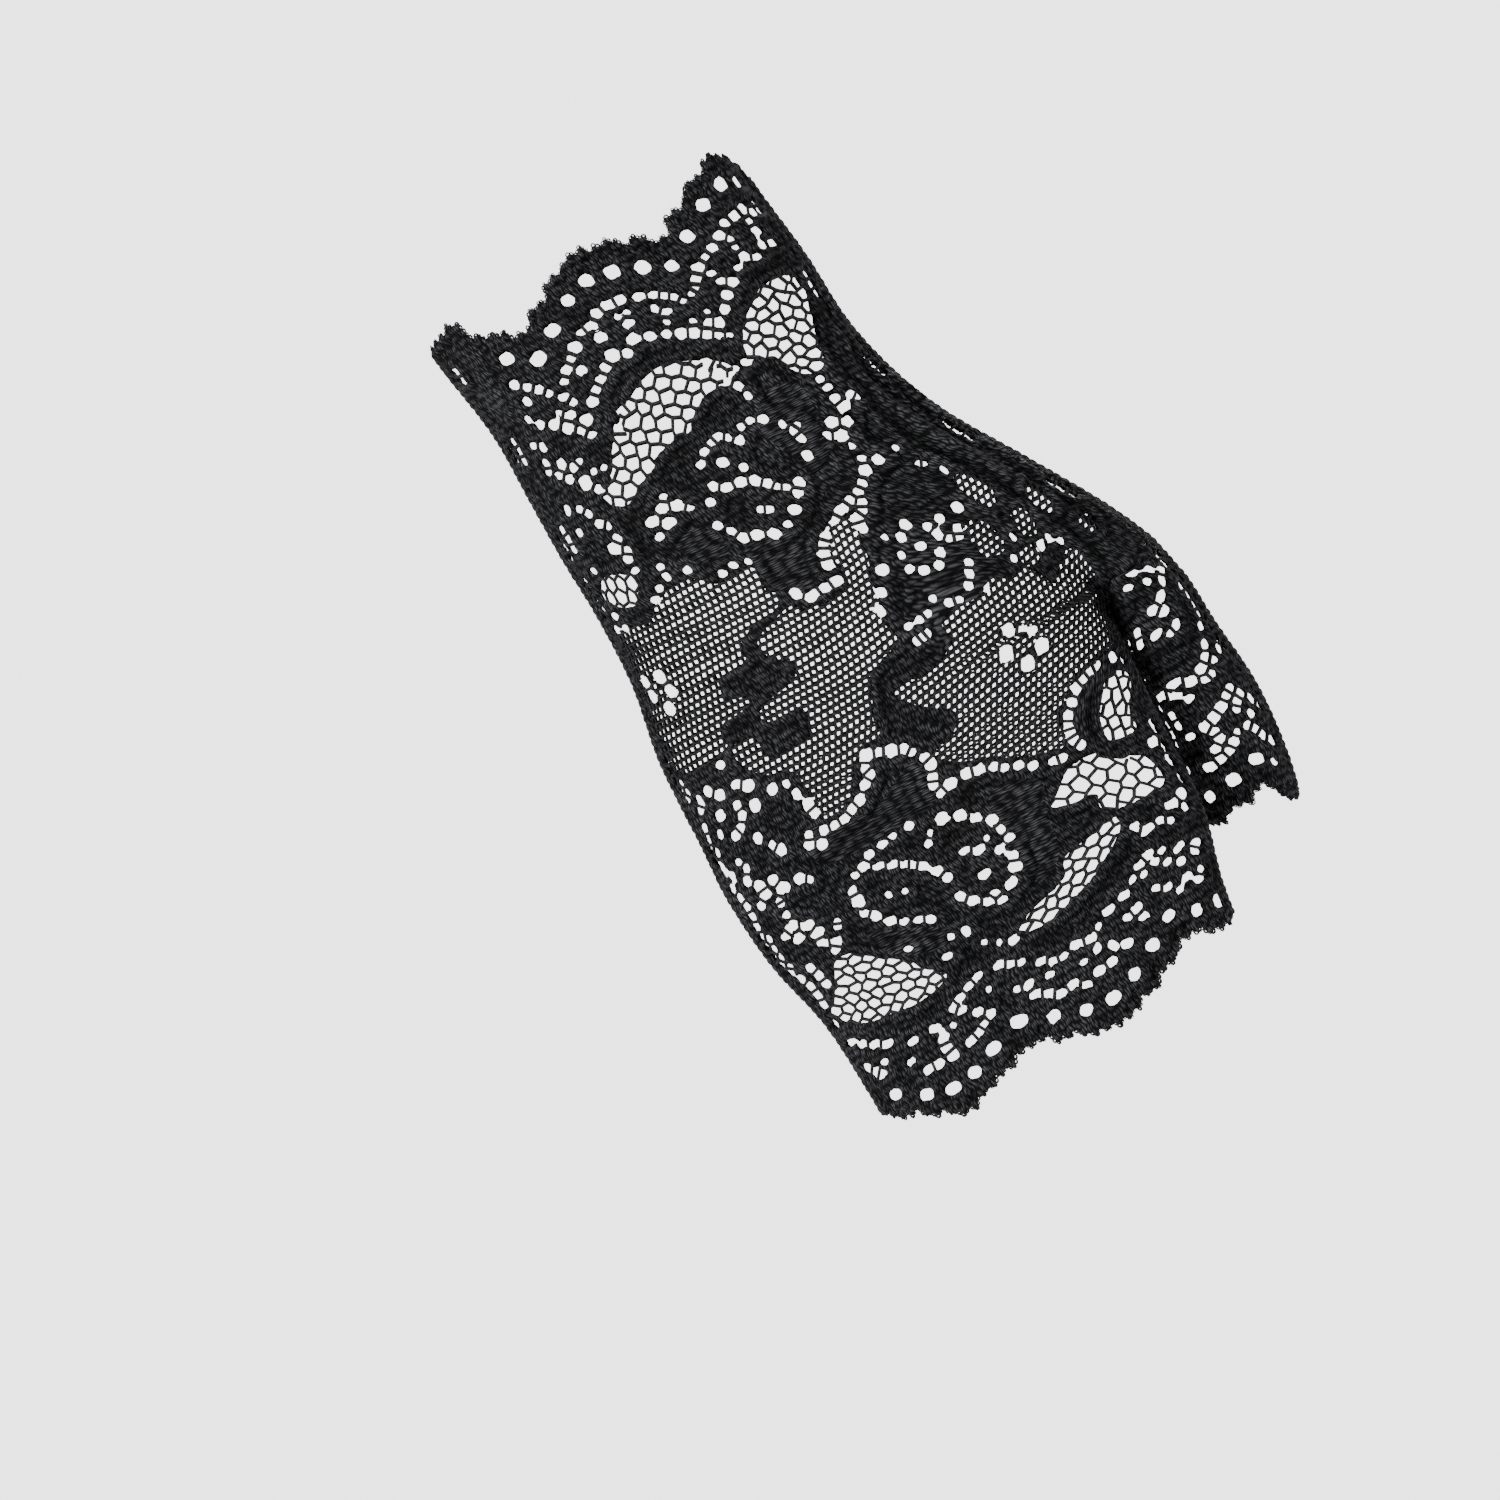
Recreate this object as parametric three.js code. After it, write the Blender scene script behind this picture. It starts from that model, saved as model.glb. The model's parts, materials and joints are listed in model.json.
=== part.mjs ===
// A fingerless lace evening glove for the right hand, in the form that it takes when it is worn.
// Two mitten-shaped lace panels, one over the back of the hand and one over the palm, each with its half
// of the thumb, are joined by cord-like overlocked seams. Both ends and the thumb's end are scalloped.
//
// Millimetres. The wrist's centre is the origin, +Z runs up the forearm and the fingers point down.
// +X is the thumb side, -X the little-finger side, -Y the back of the hand and +Y the palm.
import * as THREE from "three";

const { clamp, lerp, smoothstep } = THREE.MathUtils;

// Cloth and thread
const LACE_THICKNESS = 1.2;
const SEAM_RADIUS = 1.1;
const SEAM_SIDES = 6;
const CLEARANCE = 0.35;
const SEAM_SETBACK = SEAM_RADIUS + CLEARANCE;

// The glove's cross-sections from the cuff down. Each is two ovals grown together, the hand's and the
// thumb's. little and hand are the x of the hand oval's ends, inner and outer those of the thumb's, and
// handY, innerY and outerY the y of those ends. back, palm, thumbBack and thumbPalm are how far each side
// of each oval stands out from the line between its ends. Below CROTCH_Z the ovals part.
const CROTCH_Z = -65;
const SECTIONS = [
  { z: 52, little: -36.9, hand: 32.3, back: 23.5, palm: 24.0, handY: 0,
    inner: 2.0, outer: 32.3, thumbBack: 9.0, thumbPalm: 9.0, innerY: 0, outerY: 0 },
  { z: 38, little: -36.2, hand: 32.3, back: 22.5, palm: 23.5, handY: 0,
    inner: 3.0, outer: 32.3, thumbBack: 9.5, thumbPalm: 10.0, innerY: 0, outerY: 0 },
  { z: 20, little: -33.8, hand: 34.2, back: 22.0, palm: 22.5, handY: 0,
    inner: 5.0, outer: 34.2, thumbBack: 11.0, thumbPalm: 12.0, innerY: 0, outerY: 0 },
  { z: 5, little: -34.0, hand: 34.9, back: 21.0, palm: 22.0, handY: 0,
    inner: 8.0, outer: 34.9, thumbBack: 12.5, thumbPalm: 14.5, innerY: 0, outerY: 0 },
  { z: -8, little: -34.2, hand: 36.0, back: 20.0, palm: 22.0, handY: 0,
    inner: 11.0, outer: 37.8, thumbBack: 14.5, thumbPalm: 17.0, innerY: 0.3, outerY: 0.3 },
  { z: -20, little: -33.9, hand: 39.0, back: 19.0, palm: 22.0, handY: 0,
    inner: 17.0, outer: 42.6, thumbBack: 15.0, thumbPalm: 19.5, innerY: 1.0, outerY: 1.2 },
  { z: -35, little: -34.6, hand: 45.5, back: 18.0, palm: 21.5, handY: 0.6,
    inner: 27.0, outer: 51.4, thumbBack: 14.5, thumbPalm: 20.0, innerY: 2.4, outerY: 3.2 },
  { z: -50, little: -37.4, hand: 51.0, back: 17.2, palm: 20.5, handY: 1.8,
    inner: 40.5, outer: 60.0, thumbBack: 13.5, thumbPalm: 18.5, innerY: 3.6, outerY: 5.6 },
  { z: -60, little: -38.2, hand: 52.6, back: 16.8, palm: 19.5, handY: 3.0,
    inner: 48.5, outer: 64.6, thumbBack: 12.6, thumbPalm: 16.0, innerY: 4.4, outerY: 7.6 },
  { z: -64, little: -38.4, hand: 52.4, back: 16.6, palm: 19.2, handY: 3.6,
    inner: 51.3, outer: 65.6, thumbBack: 12.3, thumbPalm: 15.2, innerY: 5.0, outerY: 8.5 },
  { z: -67, little: -38.5, hand: 51.2, back: 16.4, palm: 18.9, handY: 3.3,
    inner: 53.1, outer: 66.2, thumbBack: 12.1, thumbPalm: 14.6, innerY: 5.9, outerY: 9.2 },
  { z: -71, little: -38.8, hand: 50.4, back: 16.1, palm: 18.4, handY: 2.2,
    inner: 53.4, outer: 66.9, thumbBack: 12.0, thumbPalm: 13.8, innerY: 7.4, outerY: 10.0 },
  { z: -80, little: -39.4, hand: 49.4, back: 15.5, palm: 17.4, handY: 0.8,
    inner: 52.3, outer: 67.2, thumbBack: 11.6, thumbPalm: 12.6, innerY: 10.2, outerY: 12.0 },
  { z: -95, little: -38.4, hand: 48.2, back: 14.2, palm: 15.6, handY: 0,
    inner: 50.6, outer: 68.2, thumbBack: 11.0, thumbPalm: 11.5, innerY: 13.4, outerY: 14.2 },
  { z: -110, little: -35.2, hand: 47.2, back: 12.8, palm: 13.8, handY: 0,
    inner: 48.8, outer: 66.6, thumbBack: 10.6, thumbPalm: 11.0, innerY: 15.6, outerY: 15.6 },
  { z: -125, little: -34.4, hand: 43.2, back: 11.6, palm: 12.2, handY: 0,
    inner: 48.0, outer: 63.0, thumbBack: 10.2, thumbPalm: 10.6, innerY: 16.6, outerY: 16.4 },
  { z: -145, little: -34.4, hand: 40.5, back: 11.0, palm: 11.4, handY: 0,
    inner: 47.6, outer: 61.0, thumbBack: 10.0, thumbPalm: 10.4, innerY: 17.0, outerY: 17.0 },
];
const ROUNDNESS = 2.3; // exponent of the half-ovals, where 2 is an ellipse
const WEB_BLEND = { atCrotch: 0.25, above: 2.4, over: 25, fadeBelow: 6 }; // softness where the ovals join

// The scalloped edges: the height of the middle of the wave, its slope along the cloth, the wave's height
// and pitch, and where a crest falls, from the middle of the hand's cloth or from the thumb's inner seam
const EDGES = {
  cuff: { middle: 39.3, slope: 0.05, wave: 3.9, pitch: 34.0, crest: -4.0, outward: 1 },
  fingers: { middle: -135.0, slope: 0.02, wave: -2.6, pitch: 35.0, crest: -24.5, outward: -1 },
  thumb: { middle: -113.6, slope: -0.09, wave: -0.9, pitch: 16.0, crest: 6.0, outward: -1 },
};
const BORDER_WIDTH = 9.0;
const TOOTH = { height: 1.3, from: 0.22, to: 0.78 };
const EYELET = { inset: 5.4, halfWidth: 1.5, halfHeight: 1.4 };
const HOLE_SIDES = 6;

// Ruffle of the cuff and finger edges, and gathers where the thumb pulls on the cloth of the wrist
const RUFFLE = { cuff: 1.2, fingers: 0.8, reach: 14 };
const GATHER = { height: 0.8, pitch: 8.5, z: -14, reachAlong: 24, s: 36, reachAcross: 15, lean: 0.42 };
const FLAT_BY_SEAM = 7;

// Cloth between the borders, charted as for filet lace: a row of cells below another from the cuff to the
// fingers, o for a gap of open net and . for closer cloth. The last THUMB_CELLS cells of a row are on the
// thumb's side of the crotch.
const HAND_CELLS = 16;
const THUMB_CELLS = 5;
const CELLS = HAND_CELLS + THUMB_CELLS;
const UPPER_CHART = [
  "....o................",
  ".....o........oo.....",
  "......o.......o......",
  ".......ooo...........",
  ".....................",
  "..o..................",
  ".....................",
  ".....................",
  "..o..................",
  ".....................",
  ".....................",
  ".....................",
];
const HAND_CHART = [
  "............o...",
  "................",
  ".............o..",
  "................",
  "................",
  "..oo.......o....",
  "..........o.....",
  "................",
];
const THUMB_CHART = [
  ".....",
  ".....",
  "..o..",
  ".....",
  ".....",
];
const GAP_SHARE = 0.3; // a gap's half width and half height in its cell
const LEVELLING_ROWS = 4; // rows over which a chart's rows change from the edge's wave to level

// Value of a column of SECTIONS at height z, smooth through the rows
function at(z, column) {
  const last = SECTIONS.length - 1;
  const slope = (k) => {
    const [a, b] = [SECTIONS[Math.max(0, k - 1)], SECTIONS[Math.min(last, k + 1)]];
    return (b[column] - a[column]) / (b.z - a.z);
  };
  let k = 0;
  while (k < last - 1 && z < SECTIONS[k + 1].z) k += 1;
  const [a, b] = [SECTIONS[k], SECTIONS[k + 1]];
  const t = clamp((z - a.z) / (b.z - a.z), 0, 1);
  const bend = (b.z - a.z) * t * (1 - t);
  return lerp(a[column], b[column], t * t * (3 - 2 * t)) + bend * (slope(k) * (1 - t) - slope(k + 1) * t);
}

// Height of a half-oval over the line between its ends, and far below it outside them
const FALL = 40;
function halfOval(from, to, height, x) {
  const across = Math.abs(2 * x - from - to) / (to - from);
  return across < 1 ? height * (1 - across ** ROUNDNESS) ** (1 / ROUNDNESS) : -FALL * (across - 1);
}

// How far the hand's and the thumb's ovals stand out on one side of the glove, at (x, z)
const SIDES = {
  back: { outward: -1, hand: "back", thumb: "thumbBack" },
  palm: { outward: 1, hand: "palm", thumb: "thumbPalm" },
};
function standOut(side, x, z) {
  const { outward, hand, thumb } = SIDES[side];
  const [inner, outer] = [at(z, "inner"), at(z, "outer")];
  const [left, right] = [at(z, "little"), Math.min(at(z, "hand"), outer)];
  const handLine = at(z, "handY") * clamp((x - left) / (right - left), 0, 1) ** 4;
  const thumbLine = lerp(at(z, "innerY"), at(z, "outerY"), clamp((x - inner) / (outer - inner), 0, 1));
  return {
    hand: outward * handLine + halfOval(left, right, at(z, hand), x),
    thumb: outward * thumbLine + halfOval(inner, outer, at(z, thumb), x),
  };
}

// A section of one panel as points with their length along the cloth: "whole" above the crotch, and
// "hand" or "thumb" below it
const SECTION_STEPS = 180;
const sections = new Map();
function section(side, part, z) {
  const key = `${side} ${part} ${z.toFixed(4)}`;
  if (sections.has(key)) return sections.get(key);
  const from = at(z, part === "thumb" ? "inner" : "little");
  const to = at(z, part === "hand" ? "hand" : "outer");
  const { atCrotch, above, over, fadeBelow } = WEB_BLEND;
  const blend = lerp(atCrotch, above, smoothstep(z, CROTCH_Z, CROTCH_Z + over));
  const points = [];
  let length = 0;
  for (let k = 0; k <= SECTION_STEPS; k += 1) {
    const x = (from + to) / 2 - ((to - from) / 2) * Math.cos((Math.PI * k) / SECTION_STEPS);
    const { hand, thumb } = standOut(side, x, z);
    let out = part === "thumb" ? thumb : hand;
    if (part === "whole") {
      const join = blend * Math.log1p(Math.exp(-Math.abs(hand - thumb) / blend));
      out = Math.max(hand, thumb) + join * smoothstep(Math.min(hand, thumb), 0, fadeBelow);
    }
    const y = SIDES[side].outward * out;
    if (k > 0) length += Math.hypot(x - points[k - 1].x, y - points[k - 1].y);
    points.push({ x, y, along: length });
  }
  sections.set(key, { points, length });
  return sections.get(key);
}

// A section's point where its x or its along has a given value, between its two neighbours
function pointWhere(side, part, z, measure, value) {
  const { points } = section(side, part, z);
  let k = 1;
  while (k < SECTION_STEPS && points[k][measure] < value) k += 1;
  const [a, b] = [points[k - 1], points[k]];
  const t = clamp((value - a[measure]) / (b[measure] - a[measure]), 0, 1);
  return { x: lerp(a.x, b.x, t), y: lerp(a.y, b.y, t), along: lerp(a.along, b.along, t) };
}

// The length along a whole section at which the hand's cloth turns into the thumb's
function crossing(side, z) {
  let [low, high] = [at(z, "inner"), at(z, "hand")];
  for (let k = 0; k < 20; k += 1) {
    const middle = (low + high) / 2;
    const { hand, thumb } = standOut(side, middle, z);
    if (hand > thumb) low = middle;
    else high = middle;
  }
  return pointWhere(side, "whole", z, "x", low).along;
}

// Length along the cloth measured from the middle of the hand's oval, or from the thumb's inner seam
function fromMiddle(side, part, along, z) {
  if (part === "thumb") return along;
  return along - pointWhere(side, part, z, "x", (at(z, "little") + at(z, "hand")) / 2).along;
}

const wave = (edge, s) => Math.cos((2 * Math.PI * (s - edge.crest)) / edge.pitch);
const edgeHeight = (edge, s) => edge.middle + edge.slope * s + edge.wave * wave(edge, s);

const bell = (x) => Math.exp(-x * x);
function foldHeight(side, part, along, z) {
  if (part === "thumb") return 0;
  const { cuff, fingers } = EDGES;
  const { length } = section(side, part, z);
  const s = fromMiddle(side, part, along, z);
  const free = smoothstep(Math.min(along, length - along), 0, FLAT_BY_SEAM);
  const nearCuff = bell((edgeHeight(cuff, s) - z) / RUFFLE.reach);
  const nearFingers = bell((z - edgeHeight(fingers, s)) / RUFFLE.reach);
  const gathered = bell((z - GATHER.z) / GATHER.reachAlong) * bell((s - GATHER.s) / GATHER.reachAcross);
  const gathers = Math.sin((2 * Math.PI * (s + GATHER.lean * z)) / GATHER.pitch) * gathered;
  const ruffle = RUFFLE.cuff * wave(cuff, s) * nearCuff + RUFFLE.fingers * wave(fingers, s) * nearFingers;
  return free * (ruffle + GATHER.height * gathers);
}

// Unit normal of a surface over two chart coordinates, by differences
const NORMAL_STEP = 0.5;
function normalOf(surface, a, b) {
  const along = surface(a + NORMAL_STEP, b).sub(surface(a - NORMAL_STEP, b));
  const up = surface(a, b + NORMAL_STEP).sub(surface(a, b - NORMAL_STEP));
  return along.cross(up).normalize();
}

// A point of the worn cloth, half-way through it, and its normal, which points to -Y on both panels
function clothPoint(side, part, along, z) {
  const smooth = (a, b) => {
    const { x, y } = pointWhere(side, part, b, "along", a);
    return new THREE.Vector3(x, y, b);
  };
  const folded = (a, b) => {
    const fold = -SIDES[side].outward * foldHeight(side, part, a, b);
    return fold === 0 ? smooth(a, b) : smooth(a, b).addScaledVector(normalOf(smooth, a, b), fold);
  };
  return { point: folded(along, z), normal: normalOf(folded, along, z) };
}

// A closed shell from a flat chart. Faces are loops of chart points, anticlockwise, and place turns a
// chart point into the middle of the cloth and its normal.
class LaceShell {
  constructor(place) {
    this.place = place;
    this.points = [];
    this.index = new Map();
    this.triangles = [];
  }

  vertex([column, z]) {
    const key = `${column.toFixed(4)} ${z.toFixed(4)}`;
    if (!this.index.has(key)) {
      this.index.set(key, this.points.length);
      this.points.push([column, z]);
    }
    return this.index.get(key);
  }

  fan(loop) {
    const [first, ...rest] = loop.map((point) => this.vertex(point));
    for (let k = 0; k + 1 < rest.length; k += 1) this.triangles.push([first, rest[k], rest[k + 1]]);
  }

  // Fills between an outer loop and a hexagonal hole round a centre that sees all of the loop
  pierced(outer, [column, z], halfWidth, halfHeight) {
    const hole = Array.from({ length: HOLE_SIDES }, (_, k) => {
      const turn = (2 * Math.PI * (k + 0.5)) / HOLE_SIDES;
      return [column + halfWidth * Math.cos(turn), z + halfHeight * Math.sin(turn)];
    });
    const angle = ([a, b]) => Math.atan2((b - z) / halfHeight, (a - column) / halfWidth);
    const fromLowest = (loop) => {
      const angles = loop.map(angle);
      const first = angles.indexOf(Math.min(...angles));
      return loop.map((_, k) => loop[(first + k) % loop.length]);
    };
    const [ring, rim] = [fromLowest(outer), fromLowest(hole)];
    const turned = (loop, k) => angle(loop[k % loop.length]) + 2 * Math.PI * Math.floor(k / loop.length);
    let [i, j] = [0, 0];
    while (i < ring.length || j < rim.length) {
      const [from, to] = [this.vertex(ring[i % ring.length]), this.vertex(rim[j % rim.length])];
      if (j >= rim.length || (i < ring.length && turned(ring, i + 1) <= turned(rim, j + 1))) {
        i += 1;
        this.triangles.push([from, this.vertex(ring[i % ring.length]), to]);
      } else {
        j += 1;
        this.triangles.push([from, this.vertex(rim[j % rim.length]), to]);
      }
    }
  }

  geometry() {
    const placed = this.points.map((point) => this.place(point));
    const positions = [];
    for (const share of [0.5, -0.5])
      for (const { point, normal } of placed)
        positions.push(...point.clone().addScaledVector(normal, share * LACE_THICKNESS));
    const count = this.points.length;
    const indices = [];
    const rims = new Map();
    for (const [a, b, c] of this.triangles) {
      indices.push(a, b, c, c + count, b + count, a + count);
      for (const [from, to] of [[a, b], [b, c], [c, a]])
        if (!rims.delete(`${to} ${from}`)) rims.set(`${from} ${to}`, [from, to]);
    }
    for (const [from, to] of rims.values()) indices.push(to, from, from + count, to, from + count, to + count);
    const geometry = new THREE.BufferGeometry();
    geometry.setAttribute("position", new THREE.Float32BufferAttribute(positions, 3));
    geometry.setIndex(indices);
    return geometry;
  }
}

// Where a panel's chart points lie. A chart point is [column, z]: column counts cells from the
// little-finger seam, and past HAND_CELLS it is on the thumb's side of the crotch.
const SPLIT_Z = CROTCH_Z + SEAM_SETBACK;
const LEAN_TOP = -12; // where the columns start to lean towards the crotch
const CROTCH_STEPS = [3.2, 4.4, 6.0]; // below the split, where the cloth's edge bends round the crotch
const THUMB_START = 0.02; // sets the thumb's first column apart from the hand's last

function partAt(column, z) {
  if (z >= SPLIT_Z) return "whole";
  return column > HAND_CELLS ? "thumb" : "hand";
}

function alongAt(side, column, z) {
  const part = partAt(column, z);
  const last = section(side, part, z).length - SEAM_SETBACK;
  const thumbShare = (column - HAND_CELLS) / THUMB_CELLS;
  if (part === "hand") return lerp(SEAM_SETBACK, last, column / HAND_CELLS);
  if (part === "thumb") return lerp(SEAM_SETBACK, last, thumbShare);
  const lean = smoothstep(LEAN_TOP - z, 0, LEAN_TOP - SPLIT_Z);
  const even = lerp(SEAM_SETBACK, last, HAND_CELLS / CELLS);
  const split = lean > 0 ? lerp(even, crossing(side, z), lean) : even;
  return column <= HAND_CELLS ? lerp(SEAM_SETBACK, split, column / HAND_CELLS) : lerp(split, last, thumbShare);
}

function edgeHeightAt(side, edge, column) {
  const part = partAt(column, edge.middle);
  return edgeHeight(edge, fromMiddle(side, part, alongAt(side, column, edge.middle), edge.middle));
}

// Heights of a block's rows, which follow a scalloped edge beside them and level out away from it
function rowsBetween(side, rows, top, bottom, edge) {
  return (row, column) => {
    const rowsFromEdge = edge.outward > 0 ? row : rows - row;
    const share = Math.max(0, 1 - rowsFromEdge / LEVELLING_ROWS);
    const rise = share > 0 ? share * (edgeHeightAt(side, edge, column) - edge.middle) : 0;
    return lerp(top, bottom, row / rows) + rise;
  };
}

const crotchPoints = (column) => CROTCH_STEPS.map((drop) => [column, SPLIT_Z - drop]);

function panelGeometry(side) {
  const shell = new LaceShell(([column, z]) => clothPoint(side, partAt(column, z), alongAt(side, column, z), z));

  // One block of the chart. columnAt gives the chart column of a cell's left side in a row. The cell beside
  // the crotch, on the given side of the block's first row, has more points along its edge.
  const body = (chart, columnAt, rowHeight, crotchSide) => {
    const corner = (cell, row) => [columnAt(cell, row), rowHeight(row, columnAt(cell, row))];
    chart.forEach((cells, row) => {
      [...cells].forEach((mark, cell) => {
        const corners = [corner(cell, row + 1), corner(cell + 1, row + 1), corner(cell + 1, row), corner(cell, row)];
        if (mark === "o") {
          const [column, z] = [0, 1].map((k) => corners.reduce((sum, point) => sum + point[k], 0) / corners.length);
          shell.pierced(corners, [column, z], GAP_SHARE, GAP_SHARE * (corners[3][1] - corners[0][1]));
        } else if (row === 0 && crotchSide === "right" && cell === cells.length - 1) {
          const [lowLeft, lowRight, highRight, highLeft] = corners;
          shell.fan([lowLeft, lowRight, ...crotchPoints(lowRight[0]).reverse(), highRight, highLeft]);
        } else if (row === 0 && crotchSide === "left" && cell === 0) {
          const [lowLeft, lowRight, highRight, highLeft] = corners;
          shell.fan([lowRight, highRight, highLeft, ...crotchPoints(lowLeft[0]), lowLeft]);
        } else {
          shell.fan(corners);
        }
      });
    });
  };

  // One border of cells, each with an eyelet and a tooth of the scalloped edge
  const border = (edge, cells, columnAt, innerHeight) => {
    const rim = (cell, lift) => [columnAt(cell), edgeHeightAt(side, edge, columnAt(cell)) + edge.outward * lift];
    for (let cell = 0; cell < cells; cell += 1) {
      const outer = [
        [columnAt(cell), innerHeight(columnAt(cell))],
        [columnAt(cell + 1), innerHeight(columnAt(cell + 1))],
        rim(cell + 1, -TOOTH.height / 2),
        rim(cell + TOOTH.to, TOOTH.height / 2),
        rim(cell + TOOTH.from, TOOTH.height / 2),
        rim(cell, -TOOTH.height / 2),
      ];
      if (edge.outward < 0) outer.reverse();
      const width = alongAt(side, columnAt(cell + 1), edge.middle) - alongAt(side, columnAt(cell), edge.middle);
      shell.pierced(outer, rim(cell + 0.5, -EYELET.inset), EYELET.halfWidth / width, EYELET.halfHeight);
    }
  };

  const { cuff, fingers, thumb } = EDGES;
  const rows = { upper: UPPER_CHART.length, hand: HAND_CHART.length, thumb: THUMB_CHART.length };
  const upperRow = rowsBetween(side, rows.upper, cuff.middle - BORDER_WIDTH, SPLIT_Z, cuff);
  const handRow = rowsBetween(side, rows.hand, SPLIT_Z, fingers.middle + BORDER_WIDTH, fingers);
  const thumbRow = rowsBetween(side, rows.thumb, SPLIT_Z, thumb.middle + BORDER_WIDTH, thumb);
  const handColumn = (cell) => cell;
  const thumbColumn = (cell) => HAND_CELLS + Math.max(cell, THUMB_START);
  body(UPPER_CHART, handColumn, upperRow);
  body(HAND_CHART, handColumn, handRow, "right");
  body(THUMB_CHART, (cell, row) => (row === 0 ? HAND_CELLS + cell : thumbColumn(cell)), thumbRow, "left");
  border(cuff, CELLS, handColumn, (column) => upperRow(0, column));
  border(fingers, HAND_CELLS, handColumn, (column) => handRow(rows.hand, column));
  border(thumb, THUMB_CELLS, thumbColumn, (column) => thumbRow(rows.thumb, column));
  return shell.geometry();
}

// An overlocked seam, a round cord of thread. line gives its [x, y] at a height.
function seamGeometry(line, from, to, steps) {
  const outline = new THREE.Shape();
  for (let k = 0; k < SEAM_SIDES; k += 1) {
    const turn = (2 * Math.PI * k) / SEAM_SIDES;
    const corner = [SEAM_RADIUS * Math.cos(turn), SEAM_RADIUS * Math.sin(turn)];
    if (k === 0) outline.moveTo(...corner);
    else outline.lineTo(...corner);
  }
  const points = Array.from({ length: steps + 1 }, (_, k) => {
    const z = lerp(from, to, k / steps);
    return new THREE.Vector3(...line(z), z);
  });
  const path = new THREE.CatmullRomCurve3(points);
  return new THREE.ExtrudeGeometry(outline, { steps, extrudePath: path, bevelEnabled: false });
}

// The four seam lines, and where the two beside the crotch have parted enough to lie clear of each other
const littleLine = (z) => [at(z, "little"), 0];
const outerLine = (z) => [at(z, "outer"), at(z, "outerY")];
const handLine = (z) => [at(z, "hand"), at(z, "handY")];
const innerLine = (z) => [at(z, "inner"), at(z, "innerY")];
function partingHeight() {
  const apart = (z) => Math.hypot(...handLine(z).map((value, k) => value - innerLine(z)[k]));
  let z = CROTCH_Z;
  while (apart(z) < 2 * SEAM_SETBACK) z -= 0.1;
  return z;
}

const SEAM_INSET = 1.0; // how far a seam stops short of the scalloped edge
const seamEnd = (edge, column) => edgeHeightAt("back", edge, column) - edge.outward * SEAM_INSET;
const cuffEnds = { little: seamEnd(EDGES.cuff, 0), outer: seamEnd(EDGES.cuff, CELLS) };
const fingerEnds = { little: seamEnd(EDGES.fingers, 0), hand: seamEnd(EDGES.fingers, HAND_CELLS) };
const thumbEnds = { inner: seamEnd(EDGES.thumb, HAND_CELLS + THUMB_START), outer: seamEnd(EDGES.thumb, CELLS) };

const laceMaterial = new THREE.MeshStandardMaterial({ color: 0x17171a, roughness: 0.82, metalness: 0 });
const seamMaterial = new THREE.MeshStandardMaterial({ color: 0x0f0f11, roughness: 0.75, metalness: 0 });

const glove = new THREE.Group();
function add(name, geometry, material) {
  const mesh = new THREE.Mesh(geometry, material);
  mesh.name = name;
  glove.add(mesh);
}

add("back_panel", panelGeometry("back"), laceMaterial);
add("palm_panel", panelGeometry("palm"), laceMaterial);
add("little_finger_seam", seamGeometry(littleLine, cuffEnds.little, fingerEnds.little, 34), seamMaterial);
add("thumb_side_seam", seamGeometry(outerLine, cuffEnds.outer, thumbEnds.outer, 34), seamMaterial);
add("index_seam", seamGeometry(handLine, partingHeight(), fingerEnds.hand, 16), seamMaterial);
add("inner_thumb_seam", seamGeometry(innerLine, partingHeight(), thumbEnds.inner, 12), seamMaterial);

export default glove;
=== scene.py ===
"""A fingerless floral lace glove, the right one of a pair, in its worn form.

The cloth is charted flat, as lace is drawn: u runs along the cloth from the middle of the back and z is
the height on the glove, both in millimetres. One chart serves both panels, so that their patterns meet
at the seams. Places in the pattern are written as seen from the front, x and z, and are then laid along
the cloth.
"""
import json
import math

import bpy
import numpy as np
from mathutils import Matrix

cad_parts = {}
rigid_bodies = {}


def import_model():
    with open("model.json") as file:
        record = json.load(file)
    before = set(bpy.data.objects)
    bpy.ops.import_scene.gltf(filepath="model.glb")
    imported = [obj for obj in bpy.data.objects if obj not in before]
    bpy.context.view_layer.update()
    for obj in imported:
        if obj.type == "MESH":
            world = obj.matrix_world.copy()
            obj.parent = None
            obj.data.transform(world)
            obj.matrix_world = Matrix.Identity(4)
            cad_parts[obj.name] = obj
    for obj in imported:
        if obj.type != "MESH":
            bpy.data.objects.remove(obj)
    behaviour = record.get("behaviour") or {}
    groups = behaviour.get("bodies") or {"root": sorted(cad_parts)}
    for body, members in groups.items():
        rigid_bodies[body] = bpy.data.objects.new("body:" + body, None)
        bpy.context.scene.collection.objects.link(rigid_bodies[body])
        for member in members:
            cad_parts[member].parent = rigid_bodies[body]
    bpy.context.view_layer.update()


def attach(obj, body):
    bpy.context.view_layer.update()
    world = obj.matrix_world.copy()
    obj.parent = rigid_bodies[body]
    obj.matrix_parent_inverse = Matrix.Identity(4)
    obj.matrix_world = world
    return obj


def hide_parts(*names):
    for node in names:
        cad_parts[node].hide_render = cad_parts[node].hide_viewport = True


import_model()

bl_info = {
    "name": "Lace Glove",
    "version": (1, 0, 0),
    "blender": (4, 5, 0),
    "location": "View3D > Sidebar > Lace Glove",
    "description": "Builds a fingerless floral lace glove with its nets, borders and overlocked seams",
    "category": "Add Mesh",
}

MM = 0.001
SIDES = ("back", "palm")

# The worn form

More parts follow.
